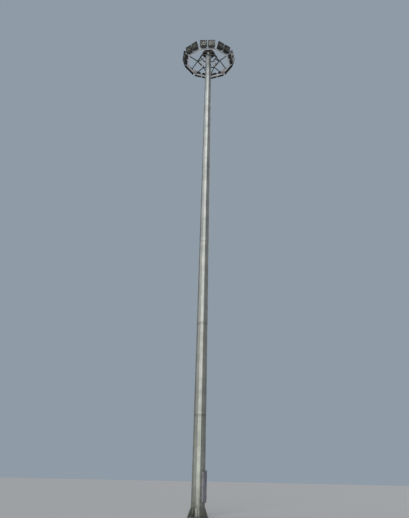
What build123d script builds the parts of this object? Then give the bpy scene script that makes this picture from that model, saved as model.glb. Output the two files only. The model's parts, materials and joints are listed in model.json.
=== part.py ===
from build123d import *
from math import acos, atan2, cos, degrees, radians, sin, tan
import os

# High mast floodlight tower: a tall twelve-sided tapered shaft of slip-jointed
# galvanised sections, with a luminaire carriage of eighteen floodlights that is
# lowered down the shaft on three ropes.
# Millimetres. Origin at the centre of the base flange's underside, +Z up.

# Height of the luminaire ring when it is up; the head is set out from it
ring_height = 25000.0

# Shaft: sections slip over each other, each one a tapered twelve-sided tube
shaft_sides = 12
shaft_base_flats = 630.0
shaft_taper = 0.01384
shaft_walls = [6.0, 6.0, 5.0, 5.0, 4.0, 4.0]
slip_joint_heights = [4500.0, 8950.0, 13400.0, 17850.0, 22300.0]
slip_laps = [950.0, 850.0, 750.0, 650.0, 550.0]
slip_gap = 0.3
shaft_top_rise = 790.0

# Base flange, gussets and the holes for the anchor bolts
flange_radius = 480.0
flange_thickness = 40.0
cable_hole_radius = 200.0
anchor_count = 12
anchor_pitch_radius = 425.0
anchor_hole_radius = 20.0
gusset_height = 400.0
gusset_thickness = 12.0
gusset_toe = 30.0
gusset_edge_margin = 20.0
gusset_top_width = 15.0

# Winch door in the foot of the shaft
door_azimuth = -30.0
door_sill = 650.0
door_clear_width = 240.0
door_clear_height = 1300.0
door_corner_radius = 40.0
door_frame_wall = 10.0
door_frame_inner_reach = 250.0
door_frame_face = 355.0
door_panel_lap = 8.0
door_panel_thickness = 6.0
door_seal_gap = 0.5
weld_gap = 0.2
door_hood_rise = 35.0
door_hood_width = 330.0
door_hood_overhang = 22.0
door_hood_sheet = 5.0
door_hood_lip = 22.0
door_lock_radius = 18.0
door_lock_height = 12.0
door_lock_chamfer = 3.0
hinge_pin_radius = 6.0
hinge_knuckle_radius = 11.0
hinge_knuckle_length = 45.0
hinge_pin_gap = 0.3
hinge_edge_gap = 3.0
hinge_leaf_thickness = 8.0
hinge_end_offset = 220.0

# Winch behind the door: a drum between two side plates on a shelf across the shaft
winch_shelf_height = 900.0
winch_shelf_depth = 150.0
winch_shelf_thickness = 10.0
winch_offset = 45.0
winch_axis_rise = 140.0
winch_side_rise = 230.0
winch_side_depth = 130.0
winch_side_thickness = 8.0
drum_length = 160.0
drum_radius = 50.0
drum_flange_radius = 84.0
drum_flange_thickness = 6.0
drum_side_gap = 3.0
drum_axle_radius = 15.0
drum_axle_gap = 0.3
winding_radius = 66.0
gear_case_width = 90.0
gear_case_height = 170.0
gear_case_depth = 120.0
gear_case_corner = 12.0
crank_shaft_radius = 12.0
crank_shaft_reach = 45.0
rope_spread = 50.0

# Head of the shaft: plate, three rope wheels and the round hood
rope_azimuths = [30.0, 150.0, 270.0]
head_plate_thickness = 8.0
wheel_radius = 80.0
wheel_groove_radius = 71.0
wheel_width = 22.0
wheel_groove_width = 10.0
wheel_centre_radius = 218.0
wheel_centre_drop = 40.0
wheel_side_gap = 4.0
axle_radius = 10.0
axle_gap = 0.3
cheek_thickness = 8.0
cheek_height = 120.0
cheek_end_margin = 26.0
rope_radius = 4.0
rope_seat_gap = 0.3
rope_inner_drop = 300.0
hood_rim_drop = 90.0
hood_radius = 380.0
hood_knuckle_radius = 130.0
hood_crown_angle = 40.0
hood_sheet = 3.0
hood_post_radius = 20.0
hood_post_gap = 0.8

# Luminaire carriage: nine-sided ring, hexagonal guide frame and lifting ring
ring_sides = 9
ring_apothem = 1215.0
ring_bar = 60.0
guide_sides = 6
guide_rise = 150.0
guide_apothem = 567.0
guide_bar = 50.0
spoke_bar = 40.0
# Azimuths of the ring corner and the guide frame corner that each spoke joins
spoke_ends = [[50, 60], [90, 60], [90, 120], [130, 120], [210, 180], [330, 360]]
lifting_ring_rise = 460.0
lifting_bar = 40.0
post_radius = 432.0
post_bar = 40.0
post_foot_drop = 80.0
arm_bar = 40.0
arm_knee_radius = 800.0
guide_arm_bar = 40.0
roller_radius = 30.0
roller_width = 44.0
roller_post_gap = 4.0
roller_cheek_gap = 2.0
roller_cheek_thickness = 6.0
roller_rises = [-40.0, 330.0]
roller_axle_radius = 8.0
roller_axle_gap = 0.3
lug_thickness = 12.0
lug_width = 50.0
lug_rope_radius = 372.0

# Floodlights: two on each side of the ring, each tilting in its own stirrup
floods_per_side = 2
flood_pitch = 462.0
flood_outreach = 195.0
flood_rise = 200.0
flood_tilt = 18.0
flood_width = 410.0
flood_height = 430.0
flood_corner = 28.0
frame_depth = 24.0
frame_front = 60.0
shell_back = 90.0
shell_back_width = 280.0
shell_back_height = 260.0
glass_width = 362.0
glass_height = 280.0
glass_thickness = 5.0
glass_ledge = 14.0
glass_gap = 0.3
glass_inset = 2.0
reflector_depth = 110.0
reflector_back_width = 200.0
reflector_back_height = 150.0
gear_box_width = 300.0
gear_box_height = 115.0
gear_box_back = 100.0
gear_box_foot = 200.0
stirrup_bar = 40.0
stirrup_thickness = 6.0
stirrup_side_gap = 6.0
pivot_radius = 8.0
pivot_gap = 0.3
pivot_boss_radius = 16.0
pivot_nut_radius = 14.0
pivot_nut_height = 9.0

# Junction boxes inside the ring: azimuth of each one's side, offset along it
junction_box_width = 260.0
junction_box_height = 180.0
junction_box_depth = 110.0
junction_box_corner = 12.0
junction_box_places = [[30.0, 220.0], [150.0, -220.0]]

os.makedirs("parts", exist_ok=True)


def finish(part, label):
    """Label a finished piece and write it."""
    part.label = label
    export_step(part, "parts/" + label + ".step")


def radial_plane(azimuth):
    """Vertical plane through the axis: local x outward, local y up."""
    angle = radians(azimuth)
    return Plane(
        origin=(0, 0, 0),
        x_dir=(cos(angle), sin(angle), 0),
        z_dir=(sin(angle), -cos(angle), 0),
    )


def facing_plane(azimuth, distance, height):
    """Upright plane that faces outward: local x along the tangent, local y up."""
    angle = radians(azimuth)
    return Plane(
        origin=(distance * cos(angle), distance * sin(angle), height),
        x_dir=(-sin(angle), cos(angle), 0),
        z_dir=(cos(angle), sin(angle), 0),
    )


def flat_turn(azimuth, height):
    """Level plane whose local x points outward along an azimuth."""
    return Plane.XY.offset(height).rotated((0, 0, azimuth))


# Sizes that follow from the driving dimensions
shaft_top = ring_height + shaft_top_rise
wheel_centre_height = shaft_top - wheel_centre_drop
hood_rim_height = wheel_centre_height - hood_rim_drop
guide_height = ring_height + guide_rise
lifting_ring_height = ring_height + lifting_ring_rise
post_foot_height = ring_height - post_foot_drop
roller_heights = [ring_height + rise for rise in roller_rises]
section_feet = [flange_thickness] + slip_joint_heights
section_tops = [h + lap for h, lap in zip(slip_joint_heights, slip_laps)] + [shaft_top]
section_count = len(shaft_walls)
shaft_rotation = 180.0 / shaft_sides


def shaft_flats(section, height):
    """Width across flats of one section at one height."""
    steps = sum(2 * (slip_gap + wall) for wall in shaft_walls[1 : section + 1])
    return shaft_base_flats - shaft_taper * height + steps


def shaft_polygon(flats):
    """Twelve-sided outline with a flat facing each way along X and Y."""
    RegularPolygon(flats / 2, shaft_sides, major_radius=False, rotation=shaft_rotation)


# Door opening
door_centre_height = door_sill + door_clear_height / 2
frame_outer_width = door_clear_width + 2 * door_frame_wall
frame_outer_height = door_clear_height + 2 * door_frame_wall
panel_width = frame_outer_width + 2 * door_panel_lap
panel_height = frame_outer_height + 2 * door_panel_lap
panel_inner_face = door_frame_face + door_seal_gap
hinge_tangent = panel_width / 2 + hinge_edge_gap + hinge_knuckle_radius
hinge_reach = panel_inner_face + door_panel_thickness / 2
hinge_heights = [
    door_sill + hinge_end_offset,
    door_sill + door_clear_height - hinge_end_offset,
]

# Shaft sections
top_flats = shaft_flats(section_count - 1, shaft_top)
wheel_slot_width = wheel_width + 2 * wheel_side_gap
wheel_slot_depth = shaft_top - wheel_centre_height + wheel_radius + wheel_side_gap
upper_sections = []
for number in range(section_count):
    foot = section_feet[number]
    top = section_tops[number]
    wall = shaft_walls[number]
    with BuildPart() as section:
        for height in (foot, top):
            with BuildSketch(Plane.XY.offset(height)):
                shaft_polygon(shaft_flats(number, height))
        loft(ruled=True)
        for height in (foot, top):
            with BuildSketch(Plane.XY.offset(height)):
                shaft_polygon(shaft_flats(number, height) - 2 * wall)
        loft(ruled=True, mode=Mode.SUBTRACT)
        if number == 0:
            with BuildSketch(facing_plane(door_azimuth, door_frame_inner_reach, door_centre_height)):
                RectangleRounded(
                    frame_outer_width + 2 * weld_gap,
                    frame_outer_height + 2 * weld_gap,
                    door_corner_radius + door_frame_wall + weld_gap,
                )
            extrude(amount=door_frame_face - door_frame_inner_reach, mode=Mode.SUBTRACT)
        if number == section_count - 1:
            for azimuth in rope_azimuths:
                with BuildSketch(facing_plane(azimuth, 0, shaft_top)):
                    Rectangle(wheel_slot_width, 2 * wheel_slot_depth)
                extrude(amount=top_flats, mode=Mode.SUBTRACT)
    if number == 0:
        finish(section.part, "mast_foot_section")
    else:
        upper_sections.append(section.part)
with BuildPart() as mast_upper_sections:
    add(upper_sections)
finish(mast_upper_sections.part, "mast_upper_sections")

# Base flange
with BuildPart() as base_flange:
    with BuildSketch():
        Circle(flange_radius)
        Circle(cable_hole_radius, mode=Mode.SUBTRACT)
        with PolarLocations(anchor_pitch_radius, anchor_count, start_angle=shaft_rotation):
            Circle(anchor_hole_radius, mode=Mode.SUBTRACT)
    extrude(amount=flange_thickness)
finish(base_flange.part, "base_flange")

# Gussets, one on the middle of each facet
with BuildPart() as base_gussets:
    gusset_top = flange_thickness + gusset_height
    foot_in = shaft_flats(0, flange_thickness) / 2
    top_in = shaft_flats(0, gusset_top) / 2
    gusset_out = flange_radius - gusset_edge_margin
    for number in range(shaft_sides):
        with BuildSketch(radial_plane(number * 360 / shaft_sides)):
            with BuildLine():
                Polyline(
                    (foot_in, flange_thickness),
                    (gusset_out, flange_thickness),
                    (gusset_out, flange_thickness + gusset_toe),
                    (top_in + gusset_top_width, gusset_top),
                    (top_in, gusset_top),
                    close=True,
                )
            make_face()
        extrude(amount=gusset_thickness / 2, both=True)
finish(base_gussets.part, "base_gussets")

# Door frame: a rounded collar welded through the wall, with hinge leaves, lower knuckles and pins
with BuildPart() as door_frame:
    with BuildSketch(facing_plane(door_azimuth, door_frame_inner_reach, door_centre_height)):
        RectangleRounded(frame_outer_width, frame_outer_height, door_corner_radius + door_frame_wall)
        RectangleRounded(
            door_clear_width, door_clear_height, door_corner_radius, mode=Mode.SUBTRACT
        )
    extrude(amount=door_frame_face - door_frame_inner_reach)
    for height in hinge_heights:
        knuckle_plane = flat_turn(door_azimuth, height - hinge_knuckle_length)
        with BuildSketch(knuckle_plane):
            with Locations((hinge_reach, hinge_tangent)):
                Circle(hinge_knuckle_radius)
            with Locations((hinge_reach - hinge_knuckle_radius, frame_outer_width / 2)):
                Rectangle(
                    hinge_leaf_thickness,
                    hinge_tangent - frame_outer_width / 2,
                    align=(Align.CENTER, Align.MIN),
                )
        extrude(amount=hinge_knuckle_length)
        with BuildSketch(flat_turn(door_azimuth, height)):
            with Locations((hinge_reach, hinge_tangent)):
                Circle(hinge_pin_radius)
        extrude(amount=hinge_knuckle_length)
finish(door_frame.part, "door_frame")

# Rain hood over the door, cut to fit round the shaft
hood_plate_height = door_sill + door_clear_height + door_frame_wall + door_hood_rise
hood_plate_reach = panel_inner_face + door_panel_thickness + door_hood_overhang
with BuildPart() as door_hood:
    with BuildSketch(flat_turn(door_azimuth, hood_plate_height)):
        Rectangle(hood_plate_reach, door_hood_width, align=(Align.MIN, Align.CENTER))
    extrude(amount=door_hood_sheet)
    with BuildSketch(flat_turn(door_azimuth, hood_plate_height - door_hood_lip)):
        with Locations((hood_plate_reach - door_hood_sheet, 0)):
            Rectangle(door_hood_sheet, door_hood_width, align=(Align.MIN, Align.CENTER))
    extrude(amount=door_hood_lip)
    with BuildSketch(Plane.XY.offset(hood_plate_height - door_hood_lip)):
        shaft_polygon(shaft_flats(0, hood_plate_height) + 2 * weld_gap)
    extrude(amount=door_hood_lip + door_hood_sheet, mode=Mode.SUBTRACT)
finish(door_hood.part, "door_hood")

# Door panel with its upper knuckles
with BuildPart() as door_panel:
    with BuildSketch(facing_plane(door_azimuth, panel_inner_face, door_centre_height)):
        RectangleRounded(
            panel_width, panel_height, door_corner_radius + door_frame_wall + door_panel_lap
        )
    extrude(amount=door_panel_thickness)
    for height in hinge_heights:
        with BuildSketch(flat_turn(door_azimuth, height + hinge_pin_gap)):
            with Locations((hinge_reach, hinge_tangent)):
                Circle(hinge_knuckle_radius)
            with Locations((hinge_reach, panel_width / 2 - hinge_edge_gap)):
                Rectangle(
                    door_panel_thickness,
                    hinge_tangent - panel_width / 2 + hinge_edge_gap,
                    align=(Align.CENTER, Align.MIN),
                )
        extrude(amount=hinge_knuckle_length)
        with BuildSketch(flat_turn(door_azimuth, height)):
            with Locations((hinge_reach, hinge_tangent)):
                Circle(hinge_pin_radius + hinge_pin_gap)
        extrude(amount=hinge_knuckle_length + 2 * hinge_pin_gap, mode=Mode.SUBTRACT)
finish(door_panel.part, "door_panel")

# Door lock near the free edge
lock_face = panel_inner_face + door_panel_thickness
with BuildPart() as door_lock:
    with BuildSketch(facing_plane(door_azimuth, lock_face, door_centre_height)):
        with Locations((-door_clear_width / 2 + door_lock_radius, 0)):
            Circle(door_lock_radius)
    extrude(amount=door_lock_height)
    outward = Axis((0, 0, 0), (cos(radians(door_azimuth)), sin(radians(door_azimuth)), 0))
    chamfer(door_lock.faces().sort_by(outward)[-1].edges(), door_lock_chamfer)
finish(door_lock.part, "door_lock")

# Winch: shelf across the shaft, side plates, gear case with its crank shaft, and the drum
winch_axis_height = winch_shelf_height + winch_axis_rise
side_plate_inner = drum_length / 2 + drum_side_gap
side_plate_outer = side_plate_inner + winch_side_thickness
shelf_top = winch_shelf_height + winch_shelf_thickness
shelf_reach = shaft_flats(0, shelf_top) / 2 - shaft_walls[0] - weld_gap
winch_plane = facing_plane(door_azimuth, 0, winch_axis_height)
drum_plane = Plane(
    origin=winch_plane.from_local_coords((winch_offset, 0, 0)),
    x_dir=radial_plane(door_azimuth).x_dir,
    z_dir=radial_plane(door_azimuth).z_dir,
)
with BuildPart() as hoist_winch:
    with BuildSketch(flat_turn(door_azimuth, winch_shelf_height)):
        Rectangle(winch_shelf_depth, 2 * shelf_reach)
    extrude(amount=winch_shelf_thickness)
    for side in (-1, 1):
        with BuildSketch(drum_plane.offset(side * (side_plate_inner + winch_side_thickness / 2))):
            with Locations((0, winch_side_rise / 2 - winch_axis_rise)):
                Rectangle(winch_side_depth, winch_side_rise)
            Circle(drum_axle_radius + drum_axle_gap, mode=Mode.SUBTRACT)
        extrude(amount=winch_side_thickness / 2, both=True)
    with BuildSketch(drum_plane.offset(side_plate_outer)):
        RectangleRounded(gear_case_depth, gear_case_height, gear_case_corner)
    extrude(amount=gear_case_width)
    with BuildSketch(winch_plane.offset(gear_case_depth / 2)):
        with Locations((winch_offset - side_plate_outer - gear_case_width / 2, 0)):
            Circle(crank_shaft_radius)
    extrude(amount=crank_shaft_reach)
    with BuildSketch(drum_plane):
        Circle(drum_radius)
    extrude(amount=drum_length / 2, both=True)
    for side in (-1, 1):
        flange_offset = side * (drum_length / 2 - drum_flange_thickness / 2)
        with BuildSketch(drum_plane.offset(flange_offset)):
            Circle(drum_flange_radius)
        extrude(amount=drum_flange_thickness / 2, both=True)
    with BuildSketch(drum_plane):
        Circle(drum_axle_radius)
    extrude(amount=side_plate_outer - drum_axle_gap, both=True)
finish(hoist_winch.part, "hoist_winch")

# Dome of the hood: a knuckle arc and a crown arc that meet in a tangent
hood_knuckle_centre = hood_radius - hood_knuckle_radius
crown_slope = radians(hood_crown_angle)
crown_centre_height = hood_rim_height - hood_knuckle_centre * tan(crown_slope)
crown_radius = hood_knuckle_radius + hood_knuckle_centre / cos(crown_slope)
hood_top = crown_centre_height + crown_radius

# Head plate on top of the shaft, notched round the rope wheels, with the hood's post
post_foot = shaft_top + head_plate_thickness
with BuildPart() as head_plate:
    with BuildSketch(Plane.XY.offset(shaft_top)):
        shaft_polygon(top_flats)
        for azimuth in rope_azimuths:
            angle = radians(azimuth)
            notch_in = wheel_centre_radius - wheel_radius - wheel_side_gap
            with Locations(Location((notch_in * cos(angle), notch_in * sin(angle), 0), (0, 0, azimuth))):
                Rectangle(
                    top_flats, wheel_slot_width, align=(Align.MIN, Align.CENTER), mode=Mode.SUBTRACT
                )
    extrude(amount=head_plate_thickness)
    with BuildSketch(Plane.XY.offset(post_foot)):
        Circle(hood_post_radius)
    extrude(amount=hood_top - hood_sheet - hood_post_gap - post_foot)
finish(head_plate.part, "head_plate")

# Cheek plates that carry the rope wheels, two to each wheel
cheek_out = wheel_centre_radius + cheek_end_margin
cheek_foot = wheel_centre_height - cheek_height / 2
cheek_foot_in = shaft_flats(section_count - 1, cheek_foot) / 2 + weld_gap
cheek_top_in = top_flats / 2 + weld_gap
cheek_offset = wheel_slot_width / 2 + cheek_thickness / 2
with BuildPart() as wheel_cheeks:
    for azimuth in rope_azimuths:
        for side in (-1, 1):
            with BuildSketch(radial_plane(azimuth).offset(side * cheek_offset)):
                with BuildLine():
                    Polyline(
                        (cheek_foot_in, cheek_foot),
                        (cheek_out - cheek_height / 4, cheek_foot),
                        (cheek_out, cheek_foot + cheek_height / 4),
                        (cheek_out, cheek_foot + 3 * cheek_height / 4),
                        (cheek_out - cheek_height / 4, shaft_top),
                        (cheek_top_in, shaft_top),
                        close=True,
                    )
                make_face()
                with Locations((wheel_centre_radius, wheel_centre_height)):
                    Circle(axle_radius + axle_gap, mode=Mode.SUBTRACT)
            extrude(amount=cheek_thickness / 2, both=True)
finish(wheel_cheeks.part, "wheel_cheeks")

# Grooved rope wheels on their axles
with BuildPart() as rope_wheels:
    for azimuth in rope_azimuths:
        wheel_plane = Plane(
            origin=radial_plane(azimuth).from_local_coords((wheel_centre_radius, wheel_centre_height, 0)),
            x_dir=radial_plane(azimuth).x_dir,
            z_dir=radial_plane(azimuth).z_dir,
        )
        with BuildSketch(wheel_plane):
            Circle(wheel_radius)
        extrude(amount=wheel_width / 2, both=True)
        with BuildSketch(wheel_plane):
            Circle(wheel_radius)
            Circle(wheel_groove_radius - rope_seat_gap, mode=Mode.SUBTRACT)
        extrude(amount=wheel_groove_width / 2, both=True, mode=Mode.SUBTRACT)
        with BuildSketch(wheel_plane):
            Circle(axle_radius)
        extrude(amount=cheek_offset + cheek_thickness, both=True)
finish(rope_wheels.part, "rope_wheels")

# Hoist ropes: over the wheels, down inside the shaft and wound on the winch drum
rope_line_radius = wheel_groove_radius + rope_radius
lug_height = lifting_ring_height + lug_thickness
lug_dx = lug_rope_radius - wheel_centre_radius
lug_dz = lug_height - wheel_centre_height
lug_distance = (lug_dx**2 + lug_dz**2) ** 0.5
tangent_angle = atan2(lug_dz, lug_dx) + acos(rope_line_radius / lug_distance)
tangent_point = (
    wheel_centre_radius + rope_line_radius * cos(tangent_angle),
    wheel_centre_height + rope_line_radius * sin(tangent_angle),
)
inner_point = (wheel_centre_radius - rope_line_radius, wheel_centre_height)
with BuildPart() as hoist_ropes:
    for azimuth in rope_azimuths:
        with BuildLine(radial_plane(azimuth)) as rope_path:
            Line((inner_point[0], wheel_centre_height - rope_inner_drop), inner_point)
            CenterArc(
                (wheel_centre_radius, wheel_centre_height),
                rope_line_radius,
                180,
                degrees(tangent_angle) - 180,
            )
        with BuildSketch(Plane(origin=rope_path.line @ 0, z_dir=(0, 0, 1))):
            Circle(rope_radius)
        sweep(path=rope_path.line)
    run_spreads = [rope_spread, 0, -rope_spread]
    for azimuth, spread in zip(rope_azimuths, run_spreads):
        run_foot = winch_plane.from_local_coords(
            (winch_offset + spread, 0, -winding_radius - rope_radius)
        )
        run_top = radial_plane(azimuth).from_local_coords(
            (inner_point[0], wheel_centre_height - rope_inner_drop - weld_gap, 0)
        )
        with BuildSketch(Plane(origin=run_foot, z_dir=run_top - run_foot)):
            Circle(rope_radius - weld_gap)
        extrude(amount=(run_top - run_foot).length)
    with BuildSketch(drum_plane):
        Circle(winding_radius)
        Circle(drum_radius + weld_gap, mode=Mode.SUBTRACT)
    extrude(amount=drum_length / 2 - drum_flange_thickness - weld_gap, both=True)
finish(hoist_ropes.part, "hoist_ropes")

# Rope falls from the wheels to the lifting ring
with BuildPart() as rope_falls:
    for azimuth in rope_azimuths:
        plane = radial_plane(azimuth)
        fall_top = plane.from_local_coords((tangent_point[0], tangent_point[1], 0))
        fall_foot = plane.from_local_coords((lug_rope_radius, lug_height, 0))
        with BuildSketch(Plane(origin=fall_top, z_dir=fall_foot - fall_top)):
            Circle(rope_radius)
        extrude(amount=(fall_foot - fall_top).length + 2 * rope_radius)
    split(bisect_by=Plane.XY.offset(lug_height + weld_gap), keep=Keep.TOP)
finish(rope_falls.part, "rope_falls")

# Round hood over the head, pressed from thin sheet
with BuildPart() as head_hood:
    with BuildSketch(Plane.XZ):
        with BuildLine():
            for sheet in (0, hood_sheet):
                CenterArc(
                    (hood_knuckle_centre, hood_rim_height),
                    hood_knuckle_radius - sheet,
                    0,
                    hood_crown_angle,
                )
                CenterArc(
                    (0, crown_centre_height),
                    crown_radius - sheet,
                    hood_crown_angle,
                    90 - hood_crown_angle,
                )
            Line((0, hood_top), (0, hood_top - hood_sheet))
            Line((hood_radius - hood_sheet, hood_rim_height), (hood_radius, hood_rim_height))
        make_face()
    revolve(axis=Axis.Z)
finish(head_hood.part, "head_hood")

# Ring of the carriage, with one side square to -Y
ring_half_turn = 180.0 / ring_sides
ring_rotation = ring_half_turn - 90.0
with BuildPart() as ring_beam:
    with BuildSketch(Plane.XY.offset(ring_height - ring_bar / 2)):
        RegularPolygon(
            ring_apothem + ring_bar / 2, ring_sides, major_radius=False, rotation=ring_rotation
        )
        RegularPolygon(
            ring_apothem - ring_bar / 2,
            ring_sides,
            major_radius=False,
            rotation=ring_rotation,
            mode=Mode.SUBTRACT,
        )
    extrude(amount=ring_bar)
finish(ring_beam.part, "ring_beam")

# Hexagonal guide frame round the shaft, with an arm inward to each roller post
guide_arm_foot = post_radius + post_bar / 2 + weld_gap
with BuildPart() as guide_frame:
    with BuildSketch(Plane.XY.offset(guide_height - guide_bar / 2)):
        RegularPolygon(guide_apothem + guide_bar / 2, guide_sides, major_radius=False)
        RegularPolygon(
            guide_apothem - guide_bar / 2, guide_sides, major_radius=False, mode=Mode.SUBTRACT
        )
    extrude(amount=guide_bar)
    for azimuth in rope_azimuths:
        with BuildSketch(flat_turn(azimuth, guide_height - guide_arm_bar / 2)):
            with Locations((guide_arm_foot, 0)):
                Rectangle(
                    guide_apothem - guide_bar / 2 - guide_arm_foot,
                    guide_arm_bar,
                    align=(Align.MIN, Align.CENTER),
                )
        extrude(amount=guide_arm_bar)
finish(guide_frame.part, "guide_frame")

# Spokes from corners of the ring to corners of the guide frame
ring_corner_radius = ring_apothem / cos(radians(ring_half_turn))
guide_corner_radius = guide_apothem / cos(radians(180 / guide_sides))
with BuildPart() as ring_spokes:
    for ring_angle, guide_angle in spoke_ends:
        outer = Vector(ring_corner_radius, 0, ring_height).rotate(Axis.Z, ring_angle)
        inner = Vector(guide_corner_radius, 0, guide_height).rotate(Axis.Z, guide_angle)
        level = Vector(0, 0, 1).cross(inner - outer)
        with BuildSketch(Plane(origin=outer, x_dir=level, z_dir=inner - outer)):
            Rectangle(spoke_bar, spoke_bar)
        extrude(amount=(inner - outer).length)
    with BuildSketch(Plane.XY.offset(ring_height - ring_bar)):
        RegularPolygon(
            ring_apothem - ring_bar / 2, ring_sides, major_radius=False, rotation=ring_rotation
        )
        RegularPolygon(
            guide_apothem + guide_bar / 2, guide_sides, major_radius=False, mode=Mode.SUBTRACT
        )
    extrude(amount=guide_rise + 2 * ring_bar, mode=Mode.INTERSECT)
finish(ring_spokes.part, "ring_spokes")

# Lifting ring under the hood, with a rope lug inside it for each rope
lug_in = lug_rope_radius - lug_width / 4
lug_out = post_radius - lifting_bar / 2
with BuildPart() as lifting_ring:
    with BuildSketch(Plane.XY.offset(lifting_ring_height - lifting_bar / 2)):
        RegularPolygon(post_radius + lifting_bar / 2, guide_sides, major_radius=False)
        RegularPolygon(
            post_radius - lifting_bar / 2, guide_sides, major_radius=False, mode=Mode.SUBTRACT
        )
    extrude(amount=lifting_bar)
    for azimuth in rope_azimuths:
        with BuildSketch(flat_turn(azimuth, lifting_ring_height)):
            with Locations((lug_in, 0)):
                Rectangle(lug_out - lug_in, lug_width, align=(Align.MIN, Align.CENTER))
        extrude(amount=lug_thickness)
finish(lifting_ring.part, "lifting_ring")

# Lifting arms: level from the lifting ring, then down to the middle of a side of the ring
ring_top = ring_height + ring_bar / 2
arm_slope = (lifting_ring_height - ring_top) / (ring_apothem - arm_knee_radius)
with BuildPart() as lifting_arms:
    for azimuth in rope_azimuths:
        with BuildSketch(radial_plane(azimuth)):
            with BuildLine():
                Polyline(
                    (post_radius + lifting_bar / 2, lifting_ring_height),
                    (arm_knee_radius, lifting_ring_height),
                    (ring_apothem, ring_top),
                    (ring_apothem + ring_bar, ring_top - arm_slope * ring_bar),
                )
            trace(line_width=arm_bar)
        extrude(amount=arm_bar / 2, both=True)
    split(bisect_by=Plane.XY.offset(ring_top), keep=Keep.TOP)
finish(lifting_arms.part, "lifting_arms")

# Upright posts with cheeks for the guide rollers
roller_centre_radius = post_radius - post_bar / 2 - roller_post_gap - roller_radius
roller_cheek_offset = roller_width / 2 + roller_cheek_gap + roller_cheek_thickness / 2
post_top = lifting_ring_height - lifting_bar / 2
with BuildPart() as roller_posts:
    for azimuth in rope_azimuths:
        with BuildSketch(flat_turn(azimuth, post_foot_height)):
            with Locations((post_radius, 0)):
                Rectangle(post_bar, 2 * roller_cheek_offset + roller_cheek_thickness)
        extrude(amount=post_top - post_foot_height)
        for side in (-1, 1):
            with BuildSketch(radial_plane(azimuth).offset(side * roller_cheek_offset)):
                for height in roller_heights:
                    with Locations((post_radius - post_bar / 2, height)):
                        Rectangle(
                            roller_post_gap + roller_radius + 2 * roller_axle_radius,
                            2 * roller_radius,
                            align=(Align.MAX, Align.CENTER),
                        )
                    with Locations((roller_centre_radius, height)):
                        Circle(roller_axle_radius + roller_axle_gap, mode=Mode.SUBTRACT)
            extrude(amount=roller_cheek_thickness / 2, both=True)
finish(roller_posts.part, "roller_posts")

# Guide rollers on their axles
with BuildPart() as guide_rollers:
    for azimuth in rope_azimuths:
        plane = radial_plane(azimuth)
        for height in roller_heights:
            roller_plane = Plane(
                origin=plane.from_local_coords((roller_centre_radius, height, 0)),
                x_dir=plane.x_dir,
                z_dir=plane.z_dir,
            )
            with BuildSketch(roller_plane):
                Circle(roller_radius)
            extrude(amount=roller_width / 2, both=True)
            with BuildSketch(roller_plane):
                Circle(roller_axle_radius)
            extrude(amount=roller_cheek_offset + roller_cheek_thickness, both=True)
finish(guide_rollers.part, "guide_rollers")

# Junction boxes on the inner face of the ring
box_face = ring_apothem - ring_bar / 2 - weld_gap
with BuildPart() as junction_boxes:
    for azimuth, offset in junction_box_places:
        with BuildSketch(facing_plane(azimuth, box_face, ring_height)):
            with Locations((offset, 0)):
                RectangleRounded(junction_box_width, junction_box_height, junction_box_corner)
        extrude(amount=-junction_box_depth)
finish(junction_boxes.part, "junction_boxes")

# Floodlights and their stirrups
leg_inner = flood_width / 2 + stirrup_side_gap
leg_outer = leg_inner + stirrup_thickness
stirrup_foot = ring_apothem + ring_bar / 2
pivot_distance = ring_apothem + flood_outreach
pivot_height = ring_height + flood_rise
window_rise = (flood_height - flood_width + glass_width - glass_height) / 2
flood_places = []
for side in range(ring_sides):
    for place in range(floods_per_side):
        offset = (place - (floods_per_side - 1) / 2) * flood_pitch
        flood_places.append((side * 360 / ring_sides - 90, offset))

with BuildPart() as stirrups:
    for azimuth, offset in flood_places:
        with BuildSketch(facing_plane(azimuth, stirrup_foot, ring_height)):
            with Locations((offset, 0)):
                Rectangle(2 * leg_outer, stirrup_bar)
        extrude(amount=stirrup_thickness)
        for side in (-1, 1):
            leg_plane = radial_plane(azimuth).offset(
                -offset + side * (leg_inner + stirrup_thickness / 2)
            )
            with BuildSketch(leg_plane):
                with BuildLine():
                    Polyline(
                        (stirrup_foot, ring_height - stirrup_bar / 2),
                        (stirrup_foot + stirrup_thickness, ring_height - stirrup_bar / 2),
                        (pivot_distance + stirrup_bar / 2, pivot_height - stirrup_bar / 2),
                        (pivot_distance + stirrup_bar / 2, pivot_height + stirrup_bar / 2),
                        (pivot_distance - stirrup_bar / 2, pivot_height + stirrup_bar / 2),
                        (stirrup_foot, ring_height + stirrup_bar / 2),
                        close=True,
                    )
                make_face()
                with Locations((pivot_distance, pivot_height)):
                    Circle(pivot_radius + pivot_gap, mode=Mode.SUBTRACT)
            extrude(amount=stirrup_thickness / 2, both=True)
finish(stirrups.part, "stirrups")


def flood_plane(azimuth, offset, depth):
    """Plane across one floodlight: local x along the ring, local z out of the glass."""
    face = facing_plane(azimuth, pivot_distance, pivot_height)
    centre = face.from_local_coords((offset, 0, 0))
    tilt = radians(flood_tilt)
    angle = radians(azimuth)
    normal = Vector(cos(angle) * cos(tilt), sin(angle) * cos(tilt), -sin(tilt))
    return Plane(origin=centre, x_dir=face.x_dir, z_dir=normal).offset(depth)


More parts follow.
